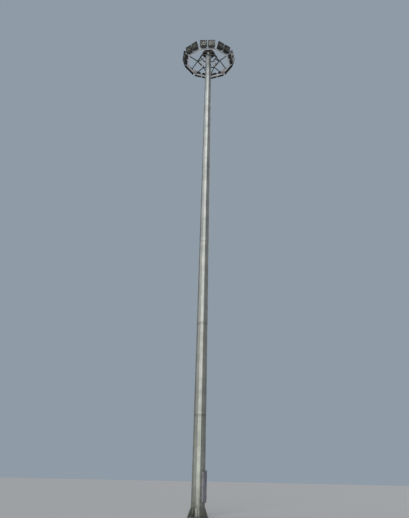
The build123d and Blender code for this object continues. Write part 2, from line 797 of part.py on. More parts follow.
def build_housing(azimuth, offset, label):
    """Tapered housing with a framed window, a gear box below and two pivot bosses."""
    with BuildPart() as housing:
        with BuildSketch(flood_plane(azimuth, offset, frame_front - frame_depth)):
            RectangleRounded(flood_width, flood_height, flood_corner)
        extrude(amount=frame_depth)
        with BuildSketch(flood_plane(azimuth, offset, frame_front - frame_depth)):
            Rectangle(flood_width - 2 * glass_ledge, flood_height - 2 * glass_ledge)
        with BuildSketch(flood_plane(azimuth, offset, -shell_back)):
            Rectangle(shell_back_width, shell_back_height)
        loft(ruled=True)
        with BuildSketch(flood_plane(azimuth, offset, -gear_box_back)):
            with Locations((0, -gear_box_foot)):
                Rectangle(gear_box_width, gear_box_height, align=(Align.CENTER, Align.MIN))
        extrude(amount=gear_box_back + frame_front - frame_depth)
        with BuildSketch(flood_plane(azimuth, offset, frame_front - glass_inset - glass_thickness)):
            with Locations((0, window_rise)):
                RectangleRounded(
                    glass_width + 2 * glass_gap, glass_height + 2 * glass_gap, flood_corner / 2
                )
        extrude(amount=glass_inset + glass_thickness, mode=Mode.SUBTRACT)
        window_back = frame_front - glass_inset - glass_thickness
        with BuildSketch(flood_plane(azimuth, offset, window_back)):
            with Locations((0, window_rise)):
                Rectangle(glass_width - 2 * glass_ledge, glass_height - 2 * glass_ledge)
        with BuildSketch(flood_plane(azimuth, offset, window_back - reflector_depth)):
            with Locations((0, window_rise)):
                Rectangle(reflector_back_width, reflector_back_height)
        loft(ruled=True, mode=Mode.SUBTRACT)
        centre_plane = flood_plane(azimuth, offset, 0)
        for side in (-1, 1):
            reach = leg_outer + pivot_gap + pivot_nut_height
            side_plane = Plane(
                origin=centre_plane.origin, x_dir=centre_plane.z_dir, z_dir=centre_plane.x_dir * side
            )
            inner_start = shell_back_width / 2
            with BuildSketch(side_plane.offset(inner_start)):
                Circle(pivot_boss_radius)
            extrude(amount=leg_inner - pivot_gap - inner_start)
            with BuildSketch(side_plane.offset(inner_start)):
                Circle(pivot_radius)
            extrude(amount=reach - inner_start)
            with BuildSketch(side_plane.offset(leg_outer + pivot_gap)):
                RegularPolygon(pivot_nut_radius, 6)
            extrude(amount=pivot_nut_height)
    finish(housing.part, label)


def build_glass(azimuth, offset, label):
    """Flat pane on the ledge of the window."""
    with BuildPart() as pane:
        with BuildSketch(flood_plane(azimuth, offset, frame_front - glass_inset - glass_thickness)):
            with Locations((0, window_rise)):
                RectangleRounded(glass_width, glass_height, flood_corner / 2)
        extrude(amount=glass_thickness)
    finish(pane.part, label)


for number, (azimuth, offset) in enumerate(flood_places):
    tag = "floodlight_" + format(number + 1, "02d")
    build_housing(azimuth, offset, tag + "_housing")
    build_glass(azimuth, offset, tag + "_glass")
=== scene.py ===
"""Looks of a high mast floodlight tower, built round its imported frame. Metres, +Z up."""

from __future__ import annotations

import json
import logging
import math
from collections.abc import Iterable, Mapping, Sequence
from dataclasses import dataclass, field
from enum import Enum

import bmesh
import bpy
from mathutils import Matrix, Vector

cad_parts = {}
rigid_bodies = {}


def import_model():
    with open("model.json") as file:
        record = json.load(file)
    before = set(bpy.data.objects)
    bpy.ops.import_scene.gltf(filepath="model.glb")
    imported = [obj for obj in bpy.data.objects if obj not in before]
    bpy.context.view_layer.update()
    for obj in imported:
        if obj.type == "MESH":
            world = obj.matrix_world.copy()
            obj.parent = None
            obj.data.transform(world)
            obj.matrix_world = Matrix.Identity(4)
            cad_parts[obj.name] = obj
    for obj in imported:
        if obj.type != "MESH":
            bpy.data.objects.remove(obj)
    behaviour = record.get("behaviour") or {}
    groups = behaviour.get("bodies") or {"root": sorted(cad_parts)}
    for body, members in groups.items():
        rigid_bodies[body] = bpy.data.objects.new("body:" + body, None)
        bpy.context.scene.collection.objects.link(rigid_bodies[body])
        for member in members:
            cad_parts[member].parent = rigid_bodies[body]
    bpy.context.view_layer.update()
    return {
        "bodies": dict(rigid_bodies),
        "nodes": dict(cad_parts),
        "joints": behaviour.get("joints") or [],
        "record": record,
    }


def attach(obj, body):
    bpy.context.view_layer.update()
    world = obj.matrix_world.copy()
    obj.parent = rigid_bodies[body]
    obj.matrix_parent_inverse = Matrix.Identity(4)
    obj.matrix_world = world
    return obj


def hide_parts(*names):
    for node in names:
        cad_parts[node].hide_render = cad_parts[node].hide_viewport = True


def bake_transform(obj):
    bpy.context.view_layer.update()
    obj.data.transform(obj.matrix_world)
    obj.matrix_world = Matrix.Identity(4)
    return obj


LOG = logging.getLogger("floodlight_mast")
MM = 0.001
# How far welds reach into the steel that they lie on, and studs start above its underside.
SINK = 0.001
# Sides of a straight weld bead.
BEAD_SIDES = 8

Colour = tuple[float, float, float, float]
Point = tuple[float, float]
Triple = tuple[float, float, float]
# Radius, length and sides of a rod.
RodSize = tuple[float, float, int]
# The same, with its radius at the top.
Cone = tuple[float, float, int, float]
# Radius, length and sides, with the rod's distance from the middle of its axle.
AxleRod = tuple[float, float, int, float]
Material = bpy.types.Material
Tree = bpy.types.NodeTree
Node = bpy.types.Node
Socket = bpy.types.NodeSocket
Inputs = Mapping[str | int, object] | Sequence[object]
Mesh = bmesh.types.BMesh
Face = bmesh.types.BMFace
# A shape and the matrix that puts it in its place.
Part = tuple[Mesh, Matrix]


class Body(Enum):
    """The moving bodies that pieces ride on."""

    MAST = "mast"
    DOOR = "door"
    CARRIAGE = "carriage"


class Slot(Enum):
    """The record's material slots, listed beside some new pieces; nothing reads them."""

    SHAFT = "shaft_steel"
    BASE = "base_steel"
    FITTING = "fitting_steel"
    ROPE = "rope_steel"
    HOOD = "hood_sheet"
    WHEEL = "wheel_iron"
    ROLLER = "roller_nylon"
    BOX = "box_aluminium"
    HOUSING = "housing_aluminium"
    CARRIAGE = "carriage_steel"


def linear(value: str) -> Colour:
    """Turns an sRGB hex value into the linear colour that shaders take.

    Args:
        value: The colour as #RRGGBB.

    Returns:
        Linear red, green and blue, and full alpha.
    """
    channels = [int(value[start : start + 2], 16) / 255 for start in (1, 3, 5)]
    red, green, blue = (
        c / 12.92 if c <= 0.04045 else ((c + 0.055) / 1.055) ** 2.4 for c in channels
    )
    return (red, green, blue, 1.0)


def feed(tree: Tree, node: Node, inputs: Inputs) -> None:
    """Sets or links the inputs of a node.

    Args:
        tree: The node tree that gets the links.
        node: The node.
        inputs: By name, by number or in order: a value, a socket to link, or a node whose
            first output is linked.
    """
    pairs = inputs.items() if isinstance(inputs, Mapping) else enumerate(inputs)
    for key, value in pairs:
        if isinstance(value, Node):
            value = value.outputs[0]
        if isinstance(value, Socket):
            tree.links.new(value, node.inputs[key])
        else:
            node.inputs[key].default_value = value


def add_node(
    tree: Tree,
    kind: str,
    inputs: Inputs = (),
    stops: Iterable[tuple[float, str]] = (),
    **settings: object,
) -> Node:
    """Adds one node with its settings, values and links.

    Args:
        tree: The node tree that gets the node.
        kind: Blender's name for the kind of node, without ShaderNode before it.
        inputs: What feed takes.
        stops: Places and sRGB hex colours of a colour ramp.
        **settings: The node's own attributes.

    Returns:
        The new node.
    """
    node = tree.nodes.new(f"ShaderNode{kind}")
    for name, value in settings.items():
        setattr(node, name, value)
    feed(tree, node, inputs)
    for index, (place, colour) in enumerate(stops):
        elements = node.color_ramp.elements
        element = elements[index] if index < len(elements) else elements.new(place)
        element.position = place
        element.color = linear(colour)
    return node


@dataclass(frozen=True)
class Finish:
    """A surface finish, named for its real material.

    Attributes:
        name: Name of the material.
        colour: Main sRGB colour.
        metallic: Share of bare metal.
        roughness: Mean roughness.
    """

    name: str
    colour: str
    metallic: float = 0.0
    roughness: float = 0.5

    def build(self) -> Material:
        """Makes the material.

        Returns:
            The new material, with its pattern on Object coordinates.
        """
        material = bpy.data.materials.new(self.name)
        material.use_nodes = True
        tree = material.node_tree
        tree.nodes.clear()
        shader = add_node(tree, "BsdfPrincipled", {"Base Color": linear(self.colour)})
        feed(tree, shader, {"Metallic": self.metallic, "Roughness": self.roughness})
        add_node(tree, "OutputMaterial", {"Surface": shader})
        place = add_node(tree, "TexCoord").outputs["Object"]
        feed(tree, shader, self.paint(tree, place))
        return material

    def paint(self, tree: Tree, place: Socket) -> Inputs:
        """Makes the pattern of the finish. A plain one has none.

        Args:
            tree: The material's node tree.
            place: Object coordinates in metres.

        Returns:
            What the Principled shader's inputs take from the pattern.
        """
        return {}


@dataclass(frozen=True)
class HotDipZinc(Finish):
    """Hot-dip galvanised steel: dull crystals, pale bloom and dirt that runs down.

    Attributes:
        dark: Colour of the dull crystals and the dirt.
        cloud_mm: Size of the bloom's patches.
        spangle_mm: Size of the zinc crystals, drawn about twice as coarse as real.
        streak_mm: Width of the rain streaks.
        streak_depth: How much darker the streaks are.
    """

    metallic: float = 0.85
    roughness: float = 0.5
    dark: str = "#9CA09E"
    cloud_mm: float = 420.0
    spangle_mm: float = 22.0
    streak_mm: float = 55.0
    streak_depth: float = 0.14

    def paint(self, tree: Tree, place: Socket) -> Inputs:
        """Mixes bloom, crystals and streaks into colour, roughness and bump.

        Args:
            tree: The material's node tree.
            place: Object coordinates in metres.

        Returns:
            What the Principled shader's inputs take from the pattern.
        """
        cloud = add_node(
            tree, "TexNoise", {"Vector": place, "Scale": 1000 / self.cloud_mm, "Detail": 5.0}
        )
        cells = add_node(tree, "TexVoronoi", {"Vector": place, "Scale": 1000 / self.spangle_mm})
        long_place = add_node(tree, "Mapping", {"Vector": place, "Scale": (1.0, 1.0, 0.06)})
        streaks = add_node(
            tree, "TexNoise", {"Vector": long_place, "Scale": 1000 / self.streak_mm, "Detail": 3.0}
        )
        bloom = add_node(tree, "MapRange", (cloud, 0.35, 0.65))
        ends = {0: bloom, 6: linear(self.dark), 7: linear(self.colour)}
        base = add_node(tree, "Mix", ends, data_type="RGBA").outputs[2]
        grey = add_node(tree, "SeparateColor", {"Color": cells.outputs["Color"]})
        crystal = add_node(tree, "MapRange", (grey, 0.0, 1.0, 0.94, 1.04))
        run = add_node(tree, "MapRange", (streaks, 0.42, 0.62, 1.0, 1.0 - self.streak_depth))
        shade = add_node(tree, "Math", (crystal, run), operation="MULTIPLY")
        toned = add_node(tree, "VectorMath", {0: base, "Scale": shade}, operation="SCALE")
        gloss = (grey, 0.0, 1.0, self.roughness - 0.04, self.roughness + 0.06)
        return {
            "Base Color": self.weather(tree, toned.outputs[0], place),
            "Roughness": add_node(tree, "MapRange", gloss),
            "Normal": add_node(
                tree, "Bump", {"Height": grey, "Strength": 0.05, "Distance": 0.4 * MM}
            ),
        }

    def weather(self, tree: Tree, colour: Socket, place: Socket) -> Socket:
        """Adds dirt that belongs to one place. Plain zinc has none.

        Args:
            tree: The material's node tree.
            colour: Colour so far.
            place: Object coordinates in metres.

        Returns:
            The weathered colour.
        """
        return colour


@dataclass(frozen=True)
class ShaftZinc(HotDipZinc):
    """Galvanised shaft plate: each section has its own tone, with painted shade under each lip.

    Attributes:
        tones: Each section's tint, from the foot up.
        lips: Heights of the slip joints' lips.
        lip_shade: Share of the painted shade right under each lip.
        lip_shade_reach: How far the painted shade reaches down from a lip.
        lip_shade_edge: How far below the lip the painted shade is darkest.
        stain_and_shade: Colour of the painted shade under the lips and of the foot's stains.
        tone_top: Height where the tints' scale ends, above the shaft.
        stain_height: Height that splash from the ground reaches.
        stain_share: Share of the stain where it is thickest.
    """

    tones: tuple[str, ...] = ("#F1F2EA", "#F0F0EA", "#F4F4F0", "#F2F2F1", "#F5F6F6", "#F0F3F5")
    lips: tuple[float, ...] = ()
    lip_shade: tuple[float, ...] = (0.42, 0.36, 0.24, 0.16, 0.1)
    lip_shade_reach: float = 0.16
    lip_shade_edge: float = 0.02
    stain_and_shade: str = "#3A3A33"
    tone_top: float = 26.0
    stain_height: float = 0.5
    stain_share: float = 0.62

    def weather(self, tree: Tree, colour: Socket, place: Socket) -> Socket:
        """Adds each section's tone, painted shade under the lips and the foot's stains.

        Args:
            tree: The material's node tree.
            colour: Colour so far.
            place: Object coordinates in metres.

        Returns:
            The weathered colour.
        """
        height = add_node(tree, "SeparateXYZ", {"Vector": place}).outputs["Z"]
        if self.lips:
            rise = add_node(tree, "MapRange", (height, 0.0, self.tone_top))
            starts = (0.0, *(lip / self.tone_top for lip in self.lips))
            tone = add_node(tree, "ValToRGB", {"Fac": rise}, zip(starts, self.tones))
            tone.color_ramp.interpolation = "CONSTANT"
            ends = {0: 1.0, 6: colour, 7: tone}
            mixed = add_node(tree, "Mix", ends, data_type="RGBA", blend_type="MULTIPLY")
            colour = mixed.outputs[2]
        amounts = []
        # Painted shade: a dark band under each lip, darkest just below it.
        for lip, share in zip(self.lips, self.lip_shade):
            reach = (height, lip - self.lip_shade_reach, lip - self.lip_shade_edge)
            near = add_node(tree, "MapRange", reach)
            below = add_node(tree, "Math", (height, lip), operation="LESS_THAN")
            both = add_node(tree, "Math", (near, below), operation="MULTIPLY")
            amounts.append(add_node(tree, "Math", (both, share), operation="MULTIPLY"))
        patches = add_node(
            tree, "TexNoise", {"Vector": place, "Scale": 9.0, "Detail": 6.0, "Roughness": 0.68}
        )
        blotch = add_node(tree, "MapRange", (patches, 0.36, 0.62))
        splash = (height, 0.3 * self.stain_height, self.stain_height, self.stain_share, 0.0)
        reach = add_node(tree, "MapRange", splash)
        amounts.append(add_node(tree, "Math", (blotch, reach), operation="MULTIPLY"))
        for amount in amounts:
            ends = {0: amount, 6: colour, 7: linear(self.stain_and_shade)}
            colour = add_node(tree, "Mix", ends, data_type="RGBA").outputs[2]
        return colour


@dataclass(frozen=True)
class GrainedPaint(Finish):
    """Sprayed paint or powder coat: a fine orange peel with dust in patches.

    Attributes:
        dust: Colour of the dust.
        dust_share: How strong the dust is at most.
        peel_mm: Size of the orange peel's bumps, drawn coarser than real.
        peel_depth_mm: Height of the bumps.
    """

    dust: str = "#8A867C"
    dust_share: float = 0.25
    peel_mm: float = 4.0
    peel_depth_mm: float = 0.15

    def paint(self, tree: Tree, place: Socket) -> Inputs:
        """Lays dust in patches over the coat and bumps it.

        Args:
            tree: The material's node tree.
            place: Object coordinates in metres.

        Returns:
            What the Principled shader's inputs take from the pattern.
        """
        patches = add_node(
            tree, "TexNoise", {"Vector": place, "Scale": 9.0, "Detail": 5.0, "Roughness": 0.65}
        )
        amount = add_node(tree, "MapRange", (patches, 0.42, 0.68, 0.0, self.dust_share))
        ends = {0: amount, 6: linear(self.colour), 7: linear(self.dust)}
        gloss = (patches, 0.0, 1.0, self.roughness - 0.08, self.roughness + 0.12)
        peel = add_node(
            tree, "TexNoise", {"Vector": place, "Scale": 1000 / self.peel_mm, "Detail": 2.0}
        )
        depth = self.peel_depth_mm * MM
        return {
            "Base Color": add_node(tree, "Mix", ends, data_type="RGBA").outputs[2],
            "Roughness": add_node(tree, "MapRange", gloss),
            "Normal": add_node(tree, "Bump", {"Height": peel, "Strength": 0.35, "Distance": depth}),
        }


@dataclass(frozen=True)
class PeenedAluminium(Finish):
    """Anodised reflector sheet with a hammered face that spreads the light.

    Attributes:
        peen_mm: Width of one hammered dimple.
    """

    metallic: float = 1.0
    roughness: float = 0.42
    peen_mm: float = 9.0

    def paint(self, tree: Tree, place: Socket) -> Inputs:
        """Bumps the sheet with rounded dimples.

        Args:
            tree: The material's node tree.
            place: Object coordinates in metres.

        Returns:
            What the Principled shader's inputs take from the pattern.
        """
        size = {"Vector": place, "Scale": 1000 / self.peen_mm}
        cells = add_node(tree, "TexVoronoi", size, feature="SMOOTH_F1")
        bump = {"Height": cells.outputs["Distance"], "Strength": 0.6, "Distance": 1.2 * MM}
        return {"Normal": add_node(tree, "Bump", bump)}


@dataclass(frozen=True)
class BrightZinc(Finish):
    """Electroplated zinc on turned or forged steel: smooth, with faint handling marks.

    Attributes:
        mark_mm: Size of the dull marks.
    """

    metallic: float = 0.9
    roughness: float = 0.36
    mark_mm: float = 14.0

    def paint(self, tree: Tree, place: Socket) -> Inputs:
        """Varies the gloss in small soft marks.

        Args:
            tree: The material's node tree.
            place: Object coordinates in metres.

        Returns:
            What the Principled shader's inputs take from the pattern.
        """
        marks = add_node(
            tree, "TexNoise", {"Vector": place, "Scale": 1000 / self.mark_mm, "Detail": 3.0}
        )
        gloss = (marks, 0.3, 0.7, self.roughness - 0.08, self.roughness + 0.14)
        return {"Roughness": add_node(tree, "MapRange", gloss)}


@dataclass(frozen=True)
class ToughenedGlass(Finish):
    """Float glass with a thin film of dust, clear enough to show the reflector.

    Attributes:
        clear_share: Share of the pane that shows where it is cleanest.
        film_share: Share that shows where the dust film is thickest.
        index: Refractive index.
    """

    roughness: float = 0.06
    clear_share: float = 0.2
    film_share: float = 0.42
    index: float = 1.52

    def paint(self, tree: Tree, place: Socket) -> Inputs:
        """Makes the pane see-through, with the dust film in soft patches.

        Args:
            tree: The material's node tree.
            place: Object coordinates in metres.

        Returns:
            What the Principled shader's inputs take from the pattern.
        """
        patches = add_node(tree, "TexNoise", {"Vector": place, "Scale": 7.0, "Detail": 4.0})
        film = (patches, 0.3, 0.7, self.clear_share, self.film_share)
        gloss = (patches, 0.0, 1.0, self.roughness, self.roughness + 0.1)
        return {
            "IOR": self.index,
            "Alpha": add_node(tree, "MapRange", film),
            "Roughness": add_node(tree, "MapRange", gloss),
        }


@dataclass(frozen=True)
class FrostedQuartz(Finish):
    """Fused quartz tube, clear in the middle and milky where its oxide coat is thick.

    Attributes:
        clear: Colour of the clear parts.
        bloom_mm: Size of the milky patches.
    """

    roughness: float = 0.2
    clear: str = "#BDBBB4"
    bloom_mm: float = 30.0

    def paint(self, tree: Tree, place: Socket) -> Inputs:
        """Blends a slightly darker tone in and roughens the milky patches.

        Args:
            tree: The material's node tree.
            place: Object coordinates in metres.

        Returns:
            What the Principled shader's inputs take from the pattern.
        """
        milk = add_node(
            tree, "TexNoise", {"Vector": place, "Scale": 1000 / self.bloom_mm, "Detail": 2.0}
        )
        stops = ((0.35, self.clear), (0.65, self.colour))
        return {
            "Base Color": add_node(tree, "ValToRGB", {"Fac": milk}, stops),
            "Roughness": add_node(tree, "MapRange", (milk, 0.0, 1.0, 0.12, 0.4)),
        }


@dataclass(frozen=True)
class WireRope(Finish):
    """Greased steel wire rope: strands that wind round the line.

    Attributes:
        grease: Colour between the strands.
        lay_mm: Length along the rope for one radian of the strands' wave, drawn coarse.
        wave_rate: Radians that Blender's wave turns per unit of its scale.
    """

    metallic: float = 0.6
    roughness: float = 0.5
    grease: str = "#1D1C1A"
    lay_mm: float = 9.0
    wave_rate: float = 20.0

    def paint(self, tree: Tree, place: Socket) -> Inputs:
        """Draws the strands as slanting bands in colour and bump.

        Args:
            tree: The material's node tree.
            place: Object coordinates in metres.

        Returns:
            What the Principled shader's inputs take from the pattern.
        """
        slanted = add_node(tree, "Mapping", {"Vector": place, "Rotation": (0.5, 0.5, 0.0)})
        scale = 1000 / self.lay_mm / self.wave_rate
        wave = {"Vector": slanted, "Scale": scale, "Distortion": 0.3}
        bands = add_node(tree, "TexWave", wave, wave_type="BANDS", bands_direction="Z")
        strands = bands.outputs["Fac"]
        stops = ((0.0, self.grease), (1.0, self.colour))
        bump = {"Height": strands, "Strength": 0.7, "Distance": 1.0 * MM}
        return {
            "Base Color": add_node(tree, "ValToRGB", {"Fac": strands}, stops),
            "Normal": add_node(tree, "Bump", bump),
        }


def dress(frame: dict, finishes: Mapping[str, Material]) -> None:
    """Gives CAD nodes their materials.

    Args:
        frame: The loaded frame.
        finishes: The material of each node, by the node's name.
    """
    for name, material in finishes.items():
        materials = frame["nodes"][name].data.materials
        materials.clear()
        materials.append(material)


def add_object(name: str, data: bpy.types.ID) -> bpy.types.Object:
    """Makes an object at the origin and links it to the scene.

    Args:
        name: Name of the object.
        data: Its mesh, light or camera.

    Returns:
        The new object.
    """
    made = bpy.data.objects.new(name, data)
    bpy.context.scene.collection.objects.link(made)
    return made


def make_piece(
    name: str,
    shape: Mesh,
    material: Material,
    body: Body | None = None,
    sharp: float = 35.0,
) -> bpy.types.Object:
    """Turns a finished bmesh into an object at the origin.

    Args:
        name: Name of the piece.
        shape: The shape, in the row frame. It is freed.
        material: Its finish.
        body: The body that it rides, or None where the caller sets that.
        sharp: Angle in degrees from which an edge stays sharp.

    Returns:
        The new object, linked to the scene.
    """
    shape.normal_update()
    bmesh.ops.recalc_face_normals(shape, faces=shape.faces)
    mesh = bpy.data.meshes.new(name)
    shape.to_mesh(mesh)
    shape.free()
    mesh.shade_smooth()
    mesh.set_sharp_from_angle(angle=math.radians(sharp))
    mesh.materials.append(material)
    piece = add_object(name, mesh)
    if body:
        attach(piece, body.value)
    LOG.info("%s: %d faces", name, len(mesh.polygons))
    return piece


def gather(parts: Iterable[Part]) -> Mesh:
    """Puts parts in their places and joins them as one mesh of closed shells.

    Args:
        parts: Each part with the matrix that places it. The parts are freed.

    Returns:
        The mesh of them all.
    """
    whole = bmesh.new()
    for part, place in parts:
        part.transform(place)
        mesh = bpy.data.meshes.new("part")
        part.to_mesh(mesh)
        part.free()
        whole.from_mesh(mesh)
        bpy.data.meshes.remove(mesh)
    return whole


def rounded_block(size: Sequence[float], edge: float, segments: int) -> Mesh:
    """Makes a block with rounded edges, centred on the origin.

    Args:
        size: Its three sides.
        edge: Radius of its edges.
        segments: Steps in each rounding.

    Returns:
        The block.
    """
    block = bmesh.new()
    bmesh.ops.create_cube(block, size=1.0)
    bmesh.ops.scale(block, vec=size, verts=block.verts)
    bmesh.ops.bevel(
        block,
        geom=block.edges[:],
        offset=edge,
        segments=segments,
        profile=0.5,
        affect="EDGES",
        material=-1,
    )
    return block


@dataclass(frozen=True)
class Block:
    """A block with rounded edges in its place.

    Attributes:
        size: Its three sides.
        edge: Radius of its edges.
        segments: Steps in each rounding.
        middle: Where its middle is.
    """

    size: Triple
    edge: float
    segments: int
    middle: Triple

    def part(self, x: float = 0.0, y: float = 0.0) -> Part:
        """Makes the block, moved along X and Y from its middle's place."""
        shape = rounded_block(self.size, self.edge, self.segments)
        return shape, Matrix.Translation(Vector((x, y, 0.0)) + Vector(self.middle))


def rod(
    radius: float, length: float, sides: int = 24, top_radius: float | None = None
) -> Mesh:
    """Makes a rod along Z, centred on the origin.

    Args:
        radius: Its radius at the foot.
        length: Its length.
        sides: Number of sides. Six make a hexagon head.
        top_radius: Its radius at the top, or the foot's.

    Returns:
        The rod.
    """
    made = bmesh.new()
    top = radius if top_radius is None else top_radius
    bmesh.ops.create_cone(
        made, cap_ends=True, segments=sides, radius1=radius, radius2=top, depth=length
    )
    return made


def turned(profile: Sequence[Point], steps: int) -> Mesh:
    """Spins a closed profile round Z.

    Args:
        profile: Points of radius and height, in order.
        steps: Steps of the full turn. Few steps make a polygon's band.

    Returns:
        The closed ring.
    """
    ring = bmesh.new()
    verts = [ring.verts.new((radius, 0.0, height)) for radius, height in profile]
    edges = [ring.edges.new((verts[index - 1], verts[index])) for index in range(len(verts))]
    bmesh.ops.spin(
        ring,
        geom=verts + edges,
        cent=(0.0, 0.0, 0.0),
        axis=(0.0, 0.0, 1.0),
        angle=math.tau,
        steps=steps,
        use_merge=True,
    )
    bmesh.ops.remove_doubles(ring, verts=ring.verts, dist=1e-6)
    return ring


def round_profile(radius: float, centre: Point, count: int = 8) -> list[Point]:
    """Gives the points of a round profile.

    Args:
        radius: Radius of the round.
        centre: Its centre, as radius and height.
        count: Number of points.

    Returns:
        Points of radius and height.
    """
    angles = [math.tau * index / count for index in range(count)]
    return [
        (centre[0] + radius * math.cos(angle), centre[1] + radius * math.sin(angle))
        for angle in angles
    ]


def rounded_plate(width: float, height: float, corner: float, level: float) -> tuple[Mesh, Face]:
    """Starts a shape from one rounded rectangle that faces +Z.

    Args:
        width: Size along X.
        height: Size along Y.
        corner: Radius of the corners.
        level: Height along Z.

    Returns:
        The mesh and its one face.
    """
    plate = bmesh.new()
    bmesh.ops.create_grid(plate, x_segments=1, y_segments=1, size=0.5)
    bmesh.ops.scale(plate, vec=(width, height, 1.0), verts=plate.verts)
    bmesh.ops.translate(plate, vec=(0.0, 0.0, level), verts=plate.verts)
    bmesh.ops.bevel(
        plate,
        geom=plate.verts[:],
        offset=corner,
        segments=5,
        profile=0.5,
        affect="VERTICES",
        material=-1,
    )
    plate.faces.ensure_lookup_table()
    return plate, plate.faces[0]


def step_face(shape: Mesh, face: Face, steps: Iterable[Triple], rise: float = 0.0) -> None:
    """Extrudes a face in steps and gives each new one its level, size and place.

    The old face goes, unless it is the shape's first one, which closes its other side.

    Args:
        shape: The mesh that holds the face.
        face: A face across Z.
        steps: Level, width along X and height along Y of each new face.
        rise: Place of their middle along Y.
    """
    for level, width, height in steps:
        alone = len(shape.faces) == 1
        made = bmesh.ops.extrude_face_region(shape, geom=[face])["geom"]
        new = next(item for item in made if isinstance(item, Face))
        if not alone and face.is_valid:
            bmesh.ops.delete(shape, geom=[face], context="FACES_ONLY")
        verts = new.verts[:]
        low = [min(v.co[axis] for v in verts) for axis in range(3)]
        high = [max(v.co[axis] for v in verts) for axis in range(3)]
        middle = Matrix.Translation([-(a + b) / 2 for a, b in zip(low, high)])
        scale = (width / (high[0] - low[0]), height / (high[1] - low[1]), 1.0)
        bmesh.ops.scale(shape, vec=scale, space=middle, verts=verts)
        target = Vector((0.0, rise, level)) + middle.to_translation()
        bmesh.ops.translate(shape, vec=target, verts=verts)
        face = new


def front_face(shape: Mesh) -> Face:
    """Finds the face of a shape that lies farthest along Z."""
    shape.faces.ensure_lookup_table()
    return max(shape.faces, key=lambda face: face.calc_center_median().z)


def shift(x: float = 0.0, y: float = 0.0, z: float = 0.0) -> Matrix:
    """Gives the matrix that moves a part."""
    return Matrix.Translation((x, y, z))


def radial_frame(azimuth: float, radius: float, height: float, along: float = 0.0) -> Matrix:
    """Gives the place whose X points outward, Y along the tangent and Z up.

    Args:
        azimuth: Direction from the axis, in degrees.
        radius: Distance from the axis.
        height: Height above the ground.
        along: Distance along the tangent.

    Returns:
        The matrix of that place.
    """
    return Matrix.Rotation(math.radians(azimuth), 4, "Z") @ shift(radius, along, height)


ALONG_X = Matrix.Rotation(math.pi / 2, 4, "Y")
ALONG_Y = Matrix.Rotation(-math.pi / 2, 4, "X")
FLIP = Matrix.Rotation(math.pi, 4, "X")


def on_axle(spot: Matrix, rods: Iterable[AxleRod]) -> list[Part]:
    """Puts washers and nuts on both ends of an axle along Y.

    Args:
        spot: Place of the axle's middle.
        rods: Radius, length and sides of each, and its distance from the middle.

    Returns:
        The rods and their places, one end after the other.
    """
    return [
        (rod(radius, length, sides), spot @ shift(y=side * offset) @ ALONG_Y)
        for side in (-1, 1)
        for radius, length, sides, offset in rods
    ]


@dataclass
class Shaft:
    """The twelve-sided tapered shaft of slip-jointed sections.

    Attributes:
        sides: Number of its flats.
        base_flats: Width across flats at the ground.
        taper: Width across flats lost per metre.
        foot: Height of the shaft's foot, on the flange.
        lips: Heights of the slip joints' lips.
        top: Height of the shaft's top.
        walls: Plate thickness of each section.
        slip_gap: Gap between two sections in a joint.
        seam_width: Width of the long weld.
        seam_rise: How far the weld stands proud.
        seam_azimuths: Facets of the welds, by turns.
    """

    sides: int = 12
    base_flats: float = 0.630
    taper: float = 0.01384
    foot: float = 0.04
    lips: tuple[float, ...] = (4.5, 8.95, 13.4, 17.85, 22.3)
    top: float = 25.79
    walls: tuple[float, ...] = (0.006, 0.006, 0.005, 0.005, 0.004, 0.004)
    slip_gap: float = 0.0003
    seam_width: float = 0.009
    seam_rise: float = 0.0022
    seam_azimuths: tuple[float, float] = (150.0, 330.0)

    def flats(self, section: int, height: float) -> float:
        """Gives the width across flats of a section at a height."""
        steps = sum(2 * (self.slip_gap + wall) for wall in self.walls[1 : section + 1])
        return self.base_flats - self.taper * height + steps

    def build(self, frame: dict) -> None:
        """Dresses the sections and adds their long welds.

        Args:
            frame: The loaded frame.
        """
        # Rolled plate dipped in molten zinc and dulled by years outside: matt light grey
        # with a faint bloom, a band of painted shade under each lip and a splashed foot.
        plate = ShaftZinc(
            name="galvanised_shaft_plate",
            colour="#C2C4C0",
            dark="#ACAFAB",
            lips=self.lips,
            stain_height=1.3,
        ).build()
        dress(frame, {"mast_foot_section": plate, "mast_upper_sections": plate})
        # Weld bead under the same zinc: a thin ridge that looks a little darker.
        weld = HotDipZinc(name="zinc_coated_weld", colour="#A2A5A3", roughness=0.6).build()
        ends = zip((self.foot, *self.lips), (*self.lips, self.top))
        seams = gather(self.seam(section, *span) for section, span in enumerate(ends))
        make_piece("seam_welds", seams, weld, Body.MAST)

    def seam(self, section: int, foot: float, top: float) -> Part:
        """Makes one section's long weld, a low bead down the middle of a facet.

        Args:
            section: Number of the section from 0.
            foot: Height where the bead starts.
            top: Height where it ends.

        Returns:
            The bead and its place.
        """
        bead = rod(self.seam_width / 2, 1.0, BEAD_SIDES)
        flatten = (2 * self.seam_rise / self.seam_width, 1.0, 1.0)
        bmesh.ops.scale(bead, vec=flatten, verts=bead.verts)
        for vert in bead.verts:
            height = top if vert.co.z > 0 else foot
            vert.co.x += self.flats(section, height) / 2
            vert.co.z = height
        azimuth = self.seam_azimuths[section % len(self.seam_azimuths)]
        return bead, Matrix.Rotation(math.radians(azimuth), 4, "Z")


